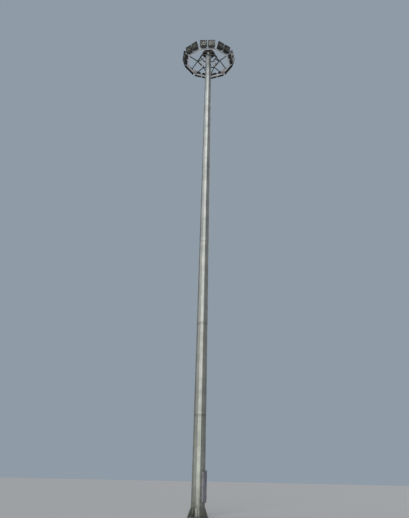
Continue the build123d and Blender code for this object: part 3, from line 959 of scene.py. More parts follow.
@dataclass
class Foot:
    """Base flange with gussets, anchor bolts and the weld round the shaft.

    Attributes:
        bolt_circle: Radius of the anchor bolt circle.
        bolt_count: Number of anchor bolts, and of gussets.
        flange_top: Height of the flange's upper face.
        stud_radius: Radius of the anchor studs.
        stud_top: Height of a stud's end.
        washer: A washer's radius, thickness and sides.
        nut: A nut's radius over its corners, height and sides.
        weld_leg: Leg of the weld round the shaft.
        gusset_height: Height of a gusset above the flange.
        gusset_half: Half of a gusset's thickness.
        gusset_reach: Distance of a gusset's outer edge from the axis.
        bead: Radius of the gussets' welds.
    """

    bolt_circle: float = 0.425
    bolt_count: int = 12
    flange_top: float = 0.040
    stud_radius: float = 0.018
    stud_top: float = 0.118
    washer: RodSize = (0.034, 0.005, 32)
    nut: RodSize = (0.0317, 0.029, 6)
    weld_leg: float = 0.012
    gusset_height: float = 0.400
    gusset_half: float = 0.006
    gusset_reach: float = 0.460
    bead: float = 0.004

    def build(self, frame: dict, shaft: Shaft) -> None:
        """Dresses the foot and adds bolts and welds.

        Args:
            frame: The loaded frame.
            shaft: The shaft that stands on it.
        """
        # Thick flame-cut plate, galvanised and splashed from the ground: dull, patchy grey.
        plate = ShaftZinc(
            name="stained_base_plate",
            colour="#989A93",
            dark="#7B7D76",
            roughness=0.64,
            stain_share=0.5,
        ).build()
        dress(frame, {"base_flange": plate, "base_gussets": plate})
        # Bolts spun after their dip: thin matt zinc, darker than the plate.
        zinc = HotDipZinc(
            name="spun_galvanised_bolt", colour="#8F9291", dark="#6C6F6E", roughness=0.58
        ).build()
        pieces = (
            ("anchor_bolts", self.anchor_bolts(), zinc),
            ("foot_weld", self.foot_weld(shaft), plate),
            ("gusset_welds", self.gusset_welds(shaft), plate),
        )
        for name, shape, material in pieces:
            make_piece(name, shape, material, Body.MAST)

    def anchor_bolts(self) -> Mesh:
        """Makes the anchor bolts, each a stud with its washer and nut.

        Returns:
            The bolts.
        """
        washer_level = self.flange_top + self.washer[1] / 2
        nut_level = self.flange_top + self.washer[1] + self.nut[1] / 2
        parts: list[Part] = []
        for index in range(self.bolt_count):
            stack = (
                (rod(self.stud_radius, self.stud_top - SINK), (self.stud_top + SINK) / 2),
                (rod(*self.washer), washer_level),
                (rod(*self.nut), nut_level),
            )
            azimuth = (index + 0.5) * 360 / self.bolt_count
            for shape, level in stack:
                parts.append((shape, radial_frame(azimuth, self.bolt_circle, level)))
        return gather(parts)

    def foot_weld(self, shaft: Shaft) -> Mesh:
        """Makes the fillet weld between shaft and flange.

        Args:
            shaft: The shaft that it runs round.

        Returns:
            A twelve-sided band.
        """
        flat = shaft.flats(0, self.flange_top) / 2
        corner = 1 / math.cos(math.pi / shaft.sides)
        profile = [
            ((flat - SINK) * corner, self.flange_top - SINK),
            ((flat + self.weld_leg) * corner, self.flange_top - SINK),
            ((flat - SINK) * corner, self.flange_top + self.weld_leg),
        ]
        weld = turned(profile, shaft.sides)
        weld.transform(Matrix.Rotation(math.pi / shaft.sides, 4, "Z"))
        return weld

    def gusset_welds(self, shaft: Shaft) -> Mesh:
        """Makes the welds along both sides of each gusset.

        Args:
            shaft: The shaft that the gussets stand against.

        Returns:
            Level beads on the flange and upright ones on the shaft.
        """
        centre = self.flange_top + self.gusset_height / 2
        inner = shaft.flats(0, self.flange_top) / 2
        middle = shaft.flats(0, centre) / 2
        run = self.gusset_reach - inner
        lean = Matrix.Rotation(-math.atan(shaft.taper / 2), 4, "Y")
        parts: list[Part] = []
        for index in range(self.bolt_count):
            azimuth = index * 360 / self.bolt_count
            for along in (-self.gusset_half, self.gusset_half):
                level = radial_frame(azimuth, inner + run / 2, self.flange_top, along)
                parts.append((rod(self.bead, run, BEAD_SIDES), level @ ALONG_X))
                upright = radial_frame(azimuth, middle, centre, along)
                parts.append((rod(self.bead, self.gusset_height, BEAD_SIDES), upright @ lean))
        return gather(parts)


@dataclass
class WinchDoor:
    """The winch door in the shaft's foot, with the winch behind it.

    Attributes:
        azimuth: Direction that the door faces.
        winch_height: Height of the drum's axle.
        winch_offset: Distance of the drum's middle along the tangent.
        winding_radius: Radius of the rope's sleeve on the drum.
        drum_half: Half the length between the drum's flanges.
        rope_radius: Radius of the rope.
        winding_steps: Steps round each turn of the rope.
        lock_reach: Distance of the lock's face from the mast's axis.
        lock_height: Height of the lock.
        lock_offset: Distance of the lock along the tangent.
        collar: Profile of the lock's collar, as radius and height.
        collar_steps: Steps round the collar.
        post: Radius, length and sides of the post that the key turns.
        post_rise: Height of the post's middle above the lock's face.
    """

    azimuth: float = -30.0
    winch_height: float = 1.040
    winch_offset: float = 0.045
    winding_radius: float = 0.066
    drum_half: float = 0.073
    rope_radius: float = 0.004
    winding_steps: int = 28
    lock_reach: float = 0.373
    lock_height: float = 1.300
    lock_offset: float = -0.102
    collar: tuple[Point, ...] = ((0.0075, 0.0), (0.0115, 0.0), (0.0105, 0.003), (0.0075, 0.003))
    collar_steps: int = 24
    post: RodSize = (0.0055, 0.004, 3)
    post_rise: float = 0.0015

    def build(self, frame: dict, rope: Material) -> None:
        """Dresses door, frame, hood, lock and winch, and winds the rope.

        Args:
            frame: The loaded frame.
            rope: The wire rope's material.
        """
        # Galvanised sheet with a violet-grey cast, a tone cooler than the shaft.
        sheet = HotDipZinc(
            name="galvanised_door_sheet", colour="#B2B0B8", dark="#9C9AA2", roughness=0.54
        ).build()
        # Bright zinc plating on a turned lock: smooth and a little shiny.
        lock = BrightZinc(name="zinc_plated_lock", colour="#9A9D9E").build()
        # Hammered enamel sprayed over cast iron: blue-grey, rippled and half glossy.
        winch = GrainedPaint(
            name="hammered_enamel", colour="#3B5360", roughness=0.4, peel_mm=12.0
        ).build()
        dress(frame, dict.fromkeys(("door_frame", "door_panel", "door_hood"), sheet))
        dress(frame, {"door_lock": lock, "hoist_winch": winch})
        make_piece("winch_windings", self.windings(), rope, Body.MAST)
        make_piece("lock_key_post", self.key_post(), lock, Body.DOOR)

    def windings(self) -> Mesh:
        """Makes the rope's turns on the drum, each a ring beside the last.

        Returns:
            The windings.
        """
        axle = radial_frame(self.azimuth, 0.0, self.winch_height, self.winch_offset) @ ALONG_Y
        turns = int(self.drum_half / self.rope_radius) - 1
        parts: list[Part] = []
        for index in range(turns):
            level = (index - (turns - 1) / 2) * 2 * self.rope_radius
            profile = round_profile(self.rope_radius, (self.winding_radius, level))
            parts.append((turned(profile, self.winding_steps), axle))
        return gather(parts)

    def key_post(self) -> Mesh:
        """Makes the lock's collar and the three-sided post that its key turns.

        Returns:
            Collar and post.
        """
        spot = radial_frame(self.azimuth, self.lock_reach, self.lock_height, self.lock_offset)
        outward = spot @ ALONG_X
        post = outward @ shift(z=self.post_rise)
        collar = turned(self.collar, self.collar_steps)
        return gather([(collar, outward), (rod(*self.post), post)])


@dataclass
class Head:
    """The head: plates, rope wheels and the round hood.

    Attributes:
        rim_height: Height of the hood's rim.
        hood_radius: Radius of the hood.
        curl: Radius of the rolled rim.
        rim_steps: Steps round the rim.
        wheel_azimuths: Directions of the rope wheels.
        wheel_radius: Distance of the wheels' axles from the mast's axis.
        wheel_height: Height of the wheels' axles.
        axle_rods: Washer and nut on each end of an axle.
        weld_reach: Distance of the cheeks' welds from the axis.
        weld_height: Height of those welds' middle.
        weld_spread: Their distance from the wheel's middle, along the tangent.
        weld_length: Their length.
        weld_radius: Their radius.
    """

    rim_height: float = 25.660
    hood_radius: float = 0.380
    curl: float = 0.005
    rim_steps: int = 72
    wheel_azimuths: tuple[float, ...] = (30.0, 150.0, 270.0)
    wheel_radius: float = 0.218
    wheel_height: float = 25.750
    axle_rods: tuple[AxleRod, ...] = ((0.017, 0.003, 24, 0.0245), (0.015, 0.009, 6, 0.0305))
    weld_reach: float = 0.1645
    weld_height: float = 25.740
    weld_spread: float = 0.0235
    weld_length: float = 0.096
    weld_radius: float = 0.004

    def build(self, frame: dict) -> None:
        """Dresses the head, rolls the hood's rim and adds nuts and welds.

        Args:
            frame: The loaded frame.
        """
        # Zinc under old grease and dust, never washed by rain, drawn dark and brownish: partly
        # painted shade under the hood.
        plate = HotDipZinc(
            name="head_steel_grease_and_painted_shade",
            colour="#5A544C",
            dark="#3C3832",
            metallic=0.3,
            roughness=0.6,
        ).build()
        # Cast iron wheels with a coat of black varnish, worn dull.
        iron = GrainedPaint(name="cast_iron_wheel", colour="#2C2B29", metallic=0.4).build()
        # Pressed sheet in a dark brown-grey coat that has chalked: almost no shine.
        hood = GrainedPaint(
            name="chalked_hood_coat",
            colour="#4A433D",
            roughness=0.62,
            dust="#6E675D",
            dust_share=0.3,
        ).build()
        dress(frame, {"head_plate": plate, "wheel_cheeks": plate})
        dress(frame, {"rope_wheels": iron, "head_hood": hood})
        curl = round_profile(self.curl, (self.hood_radius - self.curl, self.rim_height))
        pieces = (
            ("hood_rim", turned(curl, self.rim_steps), hood, Slot.HOOD),
            ("wheel_axle_nuts", self.axle_nuts(), iron, Slot.WHEEL),
            ("cheek_welds", self.cheek_welds(), plate, Slot.CARRIAGE),
        )
        for name, shape, material, slot in pieces:
            make_piece(name, shape, material, Body.MAST)

    def axle_nuts(self) -> Mesh:
        """Makes a nut and a washer at each end of each wheel's axle.

        Returns:
            The nuts and washers.
        """
        parts: list[Part] = []
        for azimuth in self.wheel_azimuths:
            spot = radial_frame(azimuth, self.wheel_radius, self.wheel_height)
            parts += on_axle(spot, self.axle_rods)
        return gather(parts)

    def cheek_welds(self) -> Mesh:
        """Makes the upright welds that hold the cheek plates to the shaft.

        Returns:
            The welds.
        """
        parts: list[Part] = []
        for azimuth in self.wheel_azimuths:
            for along in (-self.weld_spread, self.weld_spread):
                spot = radial_frame(azimuth, self.weld_reach, self.weld_height, along)
                parts.append((rod(self.weld_radius, self.weld_length, BEAD_SIDES), spot))
        return gather(parts)


@dataclass
class RopeFalls:
    """The three hoist ropes between the head's wheels and the carriage.

    Attributes:
        azimuths: Directions of the ropes.
        top_radius: Distance of a rope from the axis where it leaves its wheel.
        top_height: Height of that point.
        foot_radius: Distance from the axis at the lug.
        foot_height: Height of the lug's upper face.
        radius: Radius of the rope.
        sides: Sides of the rope.
        rows: Rings along each rope, many because it lengthens.
        fixed_rise: Height above the lug where the rope starts to lengthen. Not used.
        socket: Radius, length, sides and upper radius of the socket on the rope's end.
        socket_rise: Height of the socket's middle above the lug.
        eye: Radius, length and sides of the bolt end under the lug.
        eye_height: Height of its middle.
    """

    azimuths: tuple[float, ...] = (30.0, 150.0, 270.0)
    top_radius: float = 0.2906
    top_height: float = 25.7705
    foot_radius: float = 0.372
    foot_height: float = 25.4725
    radius: float = 0.004
    sides: int = 10
    rows: int = 60
    fixed_rise: float = 0.02
    socket: Cone = (0.0085, 0.05, 16, 0.006)
    socket_rise: float = 0.026
    eye: RodSize = (0.006, 0.006, 6)
    eye_height: float = 25.457

    def build(self, frame: dict, rope: Material) -> None:
        """Makes the falls and their ends. The real falls lengthen as the carriage comes down.

        Args:
            frame: The loaded frame.
            rope: The wire rope's material.
        """
        dress(frame, {"hoist_ropes": rope})
        falls: list[Part] = []
        sockets: list[Part] = []
        for azimuth in self.azimuths:
            turn = Matrix.Rotation(math.radians(azimuth), 4, "Z")
            top = turn @ Vector((self.top_radius, 0.0, self.top_height))
            foot = turn @ Vector((self.foot_radius, 0.0, self.foot_height))
            line = top - foot
            lean = line.to_track_quat("Z", "Y").to_matrix().to_4x4()
            place = Matrix.Translation(foot + line / 2) @ lean
            falls.append((self.fall(line.length), place))
            lift = shift(z=self.socket_rise - line.length / 2)
            sockets.append((rod(*self.socket), place @ lift))
            eye = radial_frame(azimuth, self.foot_radius, self.eye_height)
            sockets.append((rod(*self.eye), eye))
        piece = make_piece("rope_falls_long", gather(falls), rope, sharp=60)
        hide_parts("rope_falls")
        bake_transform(piece)
        # Sockets pressed on the rope's end: smooth bare steel gone dull.
        steel = BrightZinc(name="swaged_steel", colour="#6E7071", roughness=0.42).build()
        make_piece("rope_sockets", gather(sockets), steel, Body.CARRIAGE)

    def fall(self, length: float) -> Mesh:
        """Makes one rope, cut in rows so that it can lengthen.

        Args:
            length: Its length with the carriage up.

        Returns:
            The rope along Z, centred on the origin.
        """
        fall = rod(self.radius, length, self.sides)
        for index in range(1, self.rows):
            bmesh.ops.bisect_plane(
                fall,
                geom=fall.verts[:] + fall.edges[:] + fall.faces[:],
                plane_co=(0, 0, length * (index / self.rows - 0.5)),
                plane_no=(0, 0, 1),
            )
        return fall


@dataclass
class Carriage:
    """The luminaire carriage: ring, guide frame, lifting gear and boxes.

    Attributes:
        height: Height of the ring's middle.
        sides: Number of the ring's sides.
        apothem: Distance of the middle of a side from the axis.
        bar: Thickness of the ring's bar.
        bead: Radius of the weld beads.
        flood_offset: Distance of a floodlight from the middle of its side.
        stirrup_face: Distance of the stirrup feet's outer face from the axis.
        bolt_spread: Distance of a foot bolt from its stirrup's middle.
        bolt_washer: Radius, thickness and sides of its washer.
        bolt_head: Radius, height and sides of its head.
        head_lift: Distance of the head's middle from the stirrup.
        post_azimuths: Directions of the roller posts.
        roller_radius: Distance of the rollers' axles from the axis.
        roller_rises: Heights of the axles above the ring's middle.
        axle_rods: Washer and nut on each end of a roller's axle.
        box_size: Depth, width and height of a junction box.
        box_places: Azimuth of each box's side and its offset along it.
        lid_margin: How much smaller than its box a lid is.
        lid_corner: Corner radius of a lid.
        lid_steps: Level of each step of a lid, and how much narrower it is than the lid.
        screw: One of the lid's screws.
        screw_inset: Distance of the lid screws from the box's edges.
        screw_lift: Distance of their middle from the box.
        glands_per_box: Cable glands under each box.
        gland: A gland's hexagon and its dome, each with its drop below the box.
        inner_bars: Nodes of the bars inside the ring.
        outer_bars: Nodes of the ring and what stands on it.
    """

    height: float = 25.0
    sides: int = 9
    apothem: float = 1.215
    bar: float = 0.060
    bead: float = 0.003
    flood_offset: float = 0.231
    stirrup_face: float = 1.251
    bolt_spread: float = 0.13
    bolt_washer: RodSize = (0.014, 0.003, 24)
    bolt_head: RodSize = (0.011, 0.009, 6)
    head_lift: float = 0.006
    post_azimuths: tuple[float, ...] = (30.0, 150.0, 270.0)
    roller_radius: float = 0.378
    roller_rises: tuple[float, ...] = (-0.040, 0.330)
    axle_rods: tuple[AxleRod, ...] = ((0.0135, 0.002, 20, 0.031), (0.0115, 0.007, 6, 0.0355))
    box_size: Triple = (0.1102, 0.260, 0.180)
    box_places: tuple[Point, ...] = ((30.0, 0.220), (150.0, -0.220))
    lid_margin: float = 0.004
    lid_corner: float = 0.014
    lid_steps: tuple[Point, ...] = ((0.007, 0.0), (0.0085, 0.003), (0.0085, 0.040), (0.012, 0.044))
    screw: Cone = (0.0055, 0.005, 16, 0.0045)
    screw_inset: float = 0.012
    screw_lift: float = 0.010
    glands_per_box: int = 5
    gland: tuple[tuple[Cone, float], ...] = (
        ((0.0155, 0.010, 6, 0.0155), 0.004),
        ((0.010, 0.014, 20, 0.013), 0.015),
    )
    inner_bars: tuple[str, ...] = ("guide_frame", "ring_spokes", "lifting_ring", "lifting_arms")
    outer_bars: tuple[str, ...] = ("ring_beam", "stirrups", "roller_posts")

    def flood_places(self) -> list[Point]:
        """Gives azimuth and offset of each floodlight, two on each side of the ring."""
        pair = (-self.flood_offset, self.flood_offset)
        return [(side * 360 / self.sides - 90, along) for side in range(self.sides) for along in pair]

    def build(self, frame: dict) -> None:
        """Dresses the carriage and adds bolts, welds, nuts, lids and glands.

        Args:
            frame: The loaded frame.
        """
        # Pale zinc on the ring, the stirrups and the posts, pushed near white: painted light of a low
        # sun, so they shine against the lamps.
        ring_zinc_painted_light = HotDipZinc(
            name="ring_bar_zinc_painted_light", colour="#F2F0F0", dark="#E2E0E0", metallic=0.1
        ).build()
        # The inner bars are drawn almost black: painted shade that the near floodlights cast on them,
        # so they read almost black from below.
        dark = GrainedPaint(name="inner_bar_painted_shade", colour="#26292B", dust_share=0.12).build()
        # Moulded black nylon: even, slightly waxy.
        nylon = GrainedPaint(
            name="black_nylon", colour="#1B1B1C", roughness=0.45, dust_share=0.1
        ).build()
        # Sand-cast aluminium left bare: pale, matt, with a warm film of dust.
        box = GrainedPaint(
            name="cast_aluminium_box", colour="#D5CDCE", metallic=0.3, dust="#A79F9B"
        ).build()
        dress(frame, dict.fromkeys(self.inner_bars, dark))
        dress(frame, dict.fromkeys(self.outer_bars, ring_zinc_painted_light))
        dress(frame, {"guide_rollers": nylon, "junction_boxes": box})
        # Plated bolts: smooth, brighter than the dipped bars.
        zinc = BrightZinc(name="zinc_plated_bolt", colour="#B0B3B5").build()
        pieces = (
            ("stirrup_bolts", self.stirrup_bolts(), zinc, Slot.CARRIAGE),
            ("ring_corner_welds", self.corner_welds(), ring_zinc_painted_light, Slot.CARRIAGE),
            ("roller_nuts", self.roller_nuts(), zinc, Slot.CARRIAGE),
            ("box_lids", self.box_lids(), box, Slot.BOX),
            ("box_screws", self.box_screws(), zinc, Slot.FITTING),
            ("box_glands", self.box_glands(), nylon, Slot.ROLLER),
        )
        for name, shape, material, slot in pieces:
            make_piece(name, shape, material, Body.CARRIAGE)

    def stirrup_bolts(self) -> Mesh:
        """Makes the two bolts through the foot of each stirrup.

        Returns:
            Their washers and heads.
        """
        parts: list[Part] = []
        for azimuth, offset in self.flood_places():
            for side in (-1, 1):
                along = offset + side * self.bolt_spread
                spot = radial_frame(azimuth, self.stirrup_face, self.height, along)
                parts.append((rod(*self.bolt_washer), spot @ ALONG_X))
                parts.append((rod(*self.bolt_head), spot @ shift(self.head_lift) @ ALONG_X))
        return gather(parts)

    def corner_welds(self) -> Mesh:
        """Makes the beads over the ring's mitred corners.

        Returns:
            Beads over the top, down the outer face and under each corner.
        """
        half = self.bar / 2
        stretch = 1 / math.cos(math.pi / self.sides)
        inner = (self.apothem - half) * stretch
        outer = (self.apothem + half) * stretch
        parts: list[Part] = []
        for index in range(self.sides):
            azimuth = (index + 0.5) * 360 / self.sides - 90.0
            for rise in (-half, half):
                spot = radial_frame(azimuth, (inner + outer) / 2, self.height + rise)
                parts.append((rod(self.bead, outer - inner, BEAD_SIDES), spot @ ALONG_X))
            spot = radial_frame(azimuth, outer, self.height)
            parts.append((rod(self.bead, self.bar, BEAD_SIDES), spot))
        return gather(parts)

    def roller_nuts(self) -> Mesh:
        """Makes a nut and a washer at each end of each roller's axle.

        Returns:
            The nuts and washers.
        """
        parts: list[Part] = []
        for azimuth in self.post_azimuths:
            for rise in self.roller_rises:
                spot = radial_frame(azimuth, self.roller_radius, self.height + rise)
                parts += on_axle(spot, self.axle_rods)
        return gather(parts)

    def box_frames(self) -> list[Matrix]:
        """Gives each junction box's place: X outward, middle of its inner face."""
        radius = self.apothem - self.bar / 2 - self.box_size[0]
        return [radial_frame(turn, radius, self.height, along) for turn, along in self.box_places]

    def box_lids(self) -> Mesh:
        """Makes the boxes' lids, each a plate with a raised field.

        Returns:
            The lids.
        """
        width, height = (side - self.lid_margin for side in self.box_size[1:])
        steps = [(level, height - inset, width - inset) for level, inset in self.lid_steps]
        inward = Matrix.Rotation(-math.pi / 2, 4, "Y")
        parts: list[Part] = []
        for spot in self.box_frames():
            lid, face = rounded_plate(height, width, self.lid_corner, 0.0)
            step_face(lid, face, steps)
            parts.append((lid, spot @ inward))
        return gather(parts)

    def box_screws(self) -> Mesh:
        """Makes the four lid screws of each box.

        Returns:
            The screws' heads.
        """
        width, height = (side / 2 - self.screw_inset for side in self.box_size[1:])
        parts: list[Part] = []
        for spot in self.box_frames():
            for across in (-width, width):
                for up in (-height, height):
                    head = spot @ shift(-self.screw_lift, across, up) @ ALONG_X
                    parts.append((rod(*self.screw), head))
        return gather(parts)

    def box_glands(self) -> Mesh:
        """Makes the cable glands under each box, a hexagon with a dome below it.

        Returns:
            The glands.
        """
        depth, width, height = self.box_size
        count = self.glands_per_box
        parts: list[Part] = []
        for spot in self.box_frames():
            for index in range(count):
                across = (index - (count - 1) / 2) * width / (count + 0.5)
                mouth = spot @ shift(depth / 2, across, -height / 2)
                for cone, drop in self.gland:
                    parts.append((rod(*cone), mouth @ shift(z=-drop)))
        return gather(parts)


@dataclass
class Floodlight:
    """One floodlight: die-cast housing, fins, gear box, reflector and lamp.

    Its own frame has X along the ring, Y up and Z out of the glass.

    Attributes:
        pivot_radius: Distance of the tilt axis from the mast's axis.
        pivot_height: Height of the tilt axis.
        tilt: Angle below level that the glass faces, in degrees.
        width: Width of the front frame.
        height: Height of the front frame.
        corner: Corner radius of the front frame.
        front: Level of the frame's face.
        frame_depth: Depth of the frame.
        throat: Width and height of the shell right behind the frame.
        shell_steps: Level, width and height of the shell's steps behind that.
        pane: Width and height of the pane's recess.
        pane_rise: Height of the pane's middle above the pivot.
        ledge: Width of the ledge that the pane lies on.
        pane_back: Level of that ledge.
        cavity_steps: Level, width and height of the cavity's steps behind the ledge.
        fins: Number of cooling fins.
        fin_pitch: Distance between two fins.
        fin: The middle fin.
        gear_box: Box on the back for the lamp's gear.
        gear_lid: Its lid.
        gear_cover: Plate over its front, below the pane.
        gear_gland: Radius, length and sides of the cable gland under the gear box.
        gland_place: Where its middle is.
        screw: One of the lid's screws.
        screw_level: Level of their middle.
        screw_places: X and Y of the lid's screws.
        pivot_rods: Boss, pin and nut of each pivot, from the middle outward.
        clip: One of the four clips that hold the frame.
        clip_places: X and Y of the clips on one side, away from the middle.
        mirror_plate: Width, height, corner and level of the reflector's mouth.
        mirror_steps: Level, width and height of the reflector's steps.
        lamp_level: Level of the lamp.
        tubes: Radius, length and sides of the arc tube and its jacket.
        socket: Ceramic socket on the lamp's axis.
        socket_reach: Distance of the sockets from the middle.
        materials: Finishes that all the floodlights share, set by prepare.
    """

    pivot_radius: float = 1.410
    pivot_height: float = 25.200
    tilt: float = 18.0
    width: float = 0.410
    height: float = 0.430
    corner: float = 0.028
    front: float = 0.060
    frame_depth: float = 0.024
    throat: Point = (0.382, 0.402)
    shell_steps: tuple[Triple, ...] = (
        (-0.045, 0.335, 0.335),
        (-0.078, 0.300, 0.285),
        (-0.090, 0.280, 0.260),
    )
    pane: Point = (0.3626, 0.2806)
    pane_rise: float = 0.051
    ledge: float = 0.014
    pane_back: float = 0.053
    cavity_steps: tuple[Triple, ...] = (
        (0.000, 0.275, 0.215),
        (-0.040, 0.222, 0.170),
        (-0.057, 0.200, 0.150),
    )
    fins: int = 9
    fin_pitch: float = 0.028
    fin: Block = Block((0.004, 0.205, 0.036), 0.0012, 1, (0.0, 0.022, -0.080))
    gear_box: Block = Block((0.300, 0.115, 0.138), 0.008, 3, (0.0, -0.1425, -0.031))
    gear_lid: Block = Block((0.286, 0.100, 0.006), 0.002, 2, (0.0, -0.1425, -0.0985))
    gear_cover: Block = Block((0.372, 0.086, 0.010), 0.004, 2, (0.0, -0.158, 0.056))
    gear_gland: RodSize = (0.013, 0.010, 6)
    gland_place: Triple = (0.095, -0.199, -0.035)
    screw: Cone = (0.005, 0.004, 12, 0.004)
    screw_level: float = -0.1015
    screw_places: tuple[Point, ...] = (
        (-0.133, -0.182),
        (-0.133, -0.103),
        (0.133, -0.182),
        (0.133, -0.103),
    )
    pivot_rods: tuple[AxleRod, ...] = (
        (0.016, 0.0707, 24, 0.1753),
        (0.008, 0.086, 16, 0.183),
        (0.014, 0.009, 6, 0.2218),
    )
    clip: Block = Block((0.010, 0.060, 0.028), 0.002, 2, (0.0, 0.0, 0.046))
    clip_places: tuple[Point, ...] = ((0.1995, 0.12), (0.1995, -0.12))
    mirror_plate: tuple[float, float, float, float] = (0.330, 0.248, 0.014, 0.051)
    mirror_steps: tuple[Triple, ...] = (
        (0.020, 0.296, 0.230),
        (-0.012, 0.258, 0.196),
        (-0.038, 0.214, 0.160),
        (-0.053, 0.180, 0.130),
    )
    lamp_level: float = -0.005
    tubes: tuple[RodSize, ...] = ((0.011, 0.130, 20), (0.015, 0.070, 20))
    socket: Block = Block((0.028, 0.026, 0.044), 0.003, 2, (0.0, 0.0, -0.014))
    socket_reach: float = 0.076
    materials: dict[str, Material] = field(default_factory=dict)

    def prepare(self) -> None:
        """Makes the finishes that all the floodlights share."""
        self.materials = {
            # Die-cast aluminium in green-black powder coat: even and nearly matt.
            "coat": GrainedPaint(
                name="dark_powder_coat", colour="#0F1210", roughness=0.58, dust_share=0.06
            ).build(),
            # Float glass, heat toughened: clear, greyed by a film of dust.
            "glass": ToughenedGlass(name="toughened_glass", colour="#6A6D65").build(),
            # Peened and anodised sheet, dulled by heat: grey with small soft glints.
            "mirror": PeenedAluminium(name="peened_aluminium", colour="#727474").build(),
            # Fused quartz round the arc, milky with a thin oxide coat.
            "quartz": FrostedQuartz(name="quartz_arc_tube", colour="#E9E6DC").build(),
        }

    def place(self, azimuth: float, offset: float) -> Matrix:
        """Gives the matrix from the floodlight's own frame to the row frame.

        Args:
            azimuth: Direction of its side of the ring, in degrees.
            offset: Distance along that side from its middle.

        Returns:
            The matrix.
        """
        angle = math.radians(azimuth)
        tilt = math.radians(self.tilt)
        outward = Vector((math.cos(angle), math.sin(angle), 0.0))
        along = Vector((-math.sin(angle), math.cos(angle), 0.0))
        centre = outward * self.pivot_radius + along * offset
        centre.z = self.pivot_height
        normal = outward * math.cos(tilt) - Vector((0.0, 0.0, math.sin(tilt)))
        turn = Matrix((along, normal.cross(along), normal)).transposed()
        return Matrix.Translation(centre) @ turn.to_4x4()

    def shell(self) -> Mesh:
        """Makes the cast shell with its frame and the stepped opening for the pane.

        Returns:
            The closed shell.
        """
        shell, face = rounded_plate(self.width, self.height, self.corner, self.front)
        back = self.front - self.frame_depth
        outside = ((back, self.width, self.height), (back, *self.throat), *self.shell_steps)
        step_face(shell, face, outside)
        wide, high = self.pane
        inside = (
            (self.front, wide, high),
            (self.pane_back, wide, high),
            (self.pane_back, wide - 2 * self.ledge, high - 2 * self.ledge),
            *self.cavity_steps,
        )
        step_face(shell, front_face(shell), inside, self.pane_rise)
        return shell

    def housing(self) -> Mesh:
        """Makes the housing as closed shells: shell, fins, gear box and pivots.

        Returns:
            The housing in its own frame.
        """
        parts: list[Part] = [(self.shell(), Matrix.Identity(4))]
        for index in range(self.fins):
            parts.append(self.fin.part((index - (self.fins - 1) / 2) * self.fin_pitch))
        parts += [self.gear_box.part(), self.gear_lid.part()]
        for across, up in self.screw_places:
            parts.append((rod(*self.screw), shift(across, up, self.screw_level) @ FLIP))
        parts.append((rod(*self.gear_gland), shift(*self.gland_place) @ ALONG_Y))
        parts.append(self.gear_cover.part())
        for side in (-1, 1):
            sideways = Matrix.Rotation(side * math.pi / 2, 4, "Y")
            for radius, length, sides, reach in self.pivot_rods:
                parts.append((rod(radius, length, sides), sideways @ shift(z=reach)))
            parts += [self.clip.part(side * across, up) for across, up in self.clip_places]
        return gather(parts)

    def reflector(self) -> Mesh:
        """Makes the reflector, a thin dished sheet behind the pane.

        Returns:
            The reflector in the floodlight's own frame.
        """
        sheet, face = rounded_plate(*self.mirror_plate)
        step_face(sheet, face, self.mirror_steps)
        bmesh.ops.translate(sheet, vec=(0.0, self.pane_rise, 0.0), verts=sheet.verts)
        bmesh.ops.delete(sheet, geom=[front_face(sheet)], context="FACES_ONLY")
        sheet.normal_update()
        bmesh.ops.recalc_face_normals(sheet, faces=sheet.faces)
        bmesh.ops.solidify(sheet, geom=sheet.faces[:], thickness=1.0 * MM)
        return sheet

    def lamp(self) -> Mesh:
        """Makes the lamp: an arc tube between two ceramic sockets.

        Returns:
            The lamp in the floodlight's own frame.
        """
        middle = shift(y=self.pane_rise, z=self.lamp_level)
        parts: list[Part] = [(rod(*size), middle @ ALONG_X) for size in self.tubes]
        for reach in (-self.socket_reach, self.socket_reach):
            socket, place = self.socket.part(reach)
            parts.append((socket, middle @ place))
        return gather(parts)

    def build(self, frame: dict, number: int, azimuth: float, offset: float) -> None:
        """Builds one floodlight in its place.

        Args:
            frame: The loaded frame.
            number: Its number from 1.
            azimuth: Direction of its side of the ring, in degrees.
            offset: Distance along that side from its middle.
        """
        body = f"floodlight_{number:02d}"
        place = self.place(azimuth, offset)
        dress(frame, {f"{body}_glass": self.materials["glass"]})
        shapes = (
            ("body", self.housing(), "coat"),
            ("reflector", self.reflector(), "mirror"),
            ("lamp", self.lamp(), "quartz"),
        )
        for label, shape, key in shapes:
            shape.transform(place)
            piece = make_piece(f"{body}_{label}", shape, self.materials[key])
            if label == "body":
                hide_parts(f"{body}_housing")
            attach(piece, body)


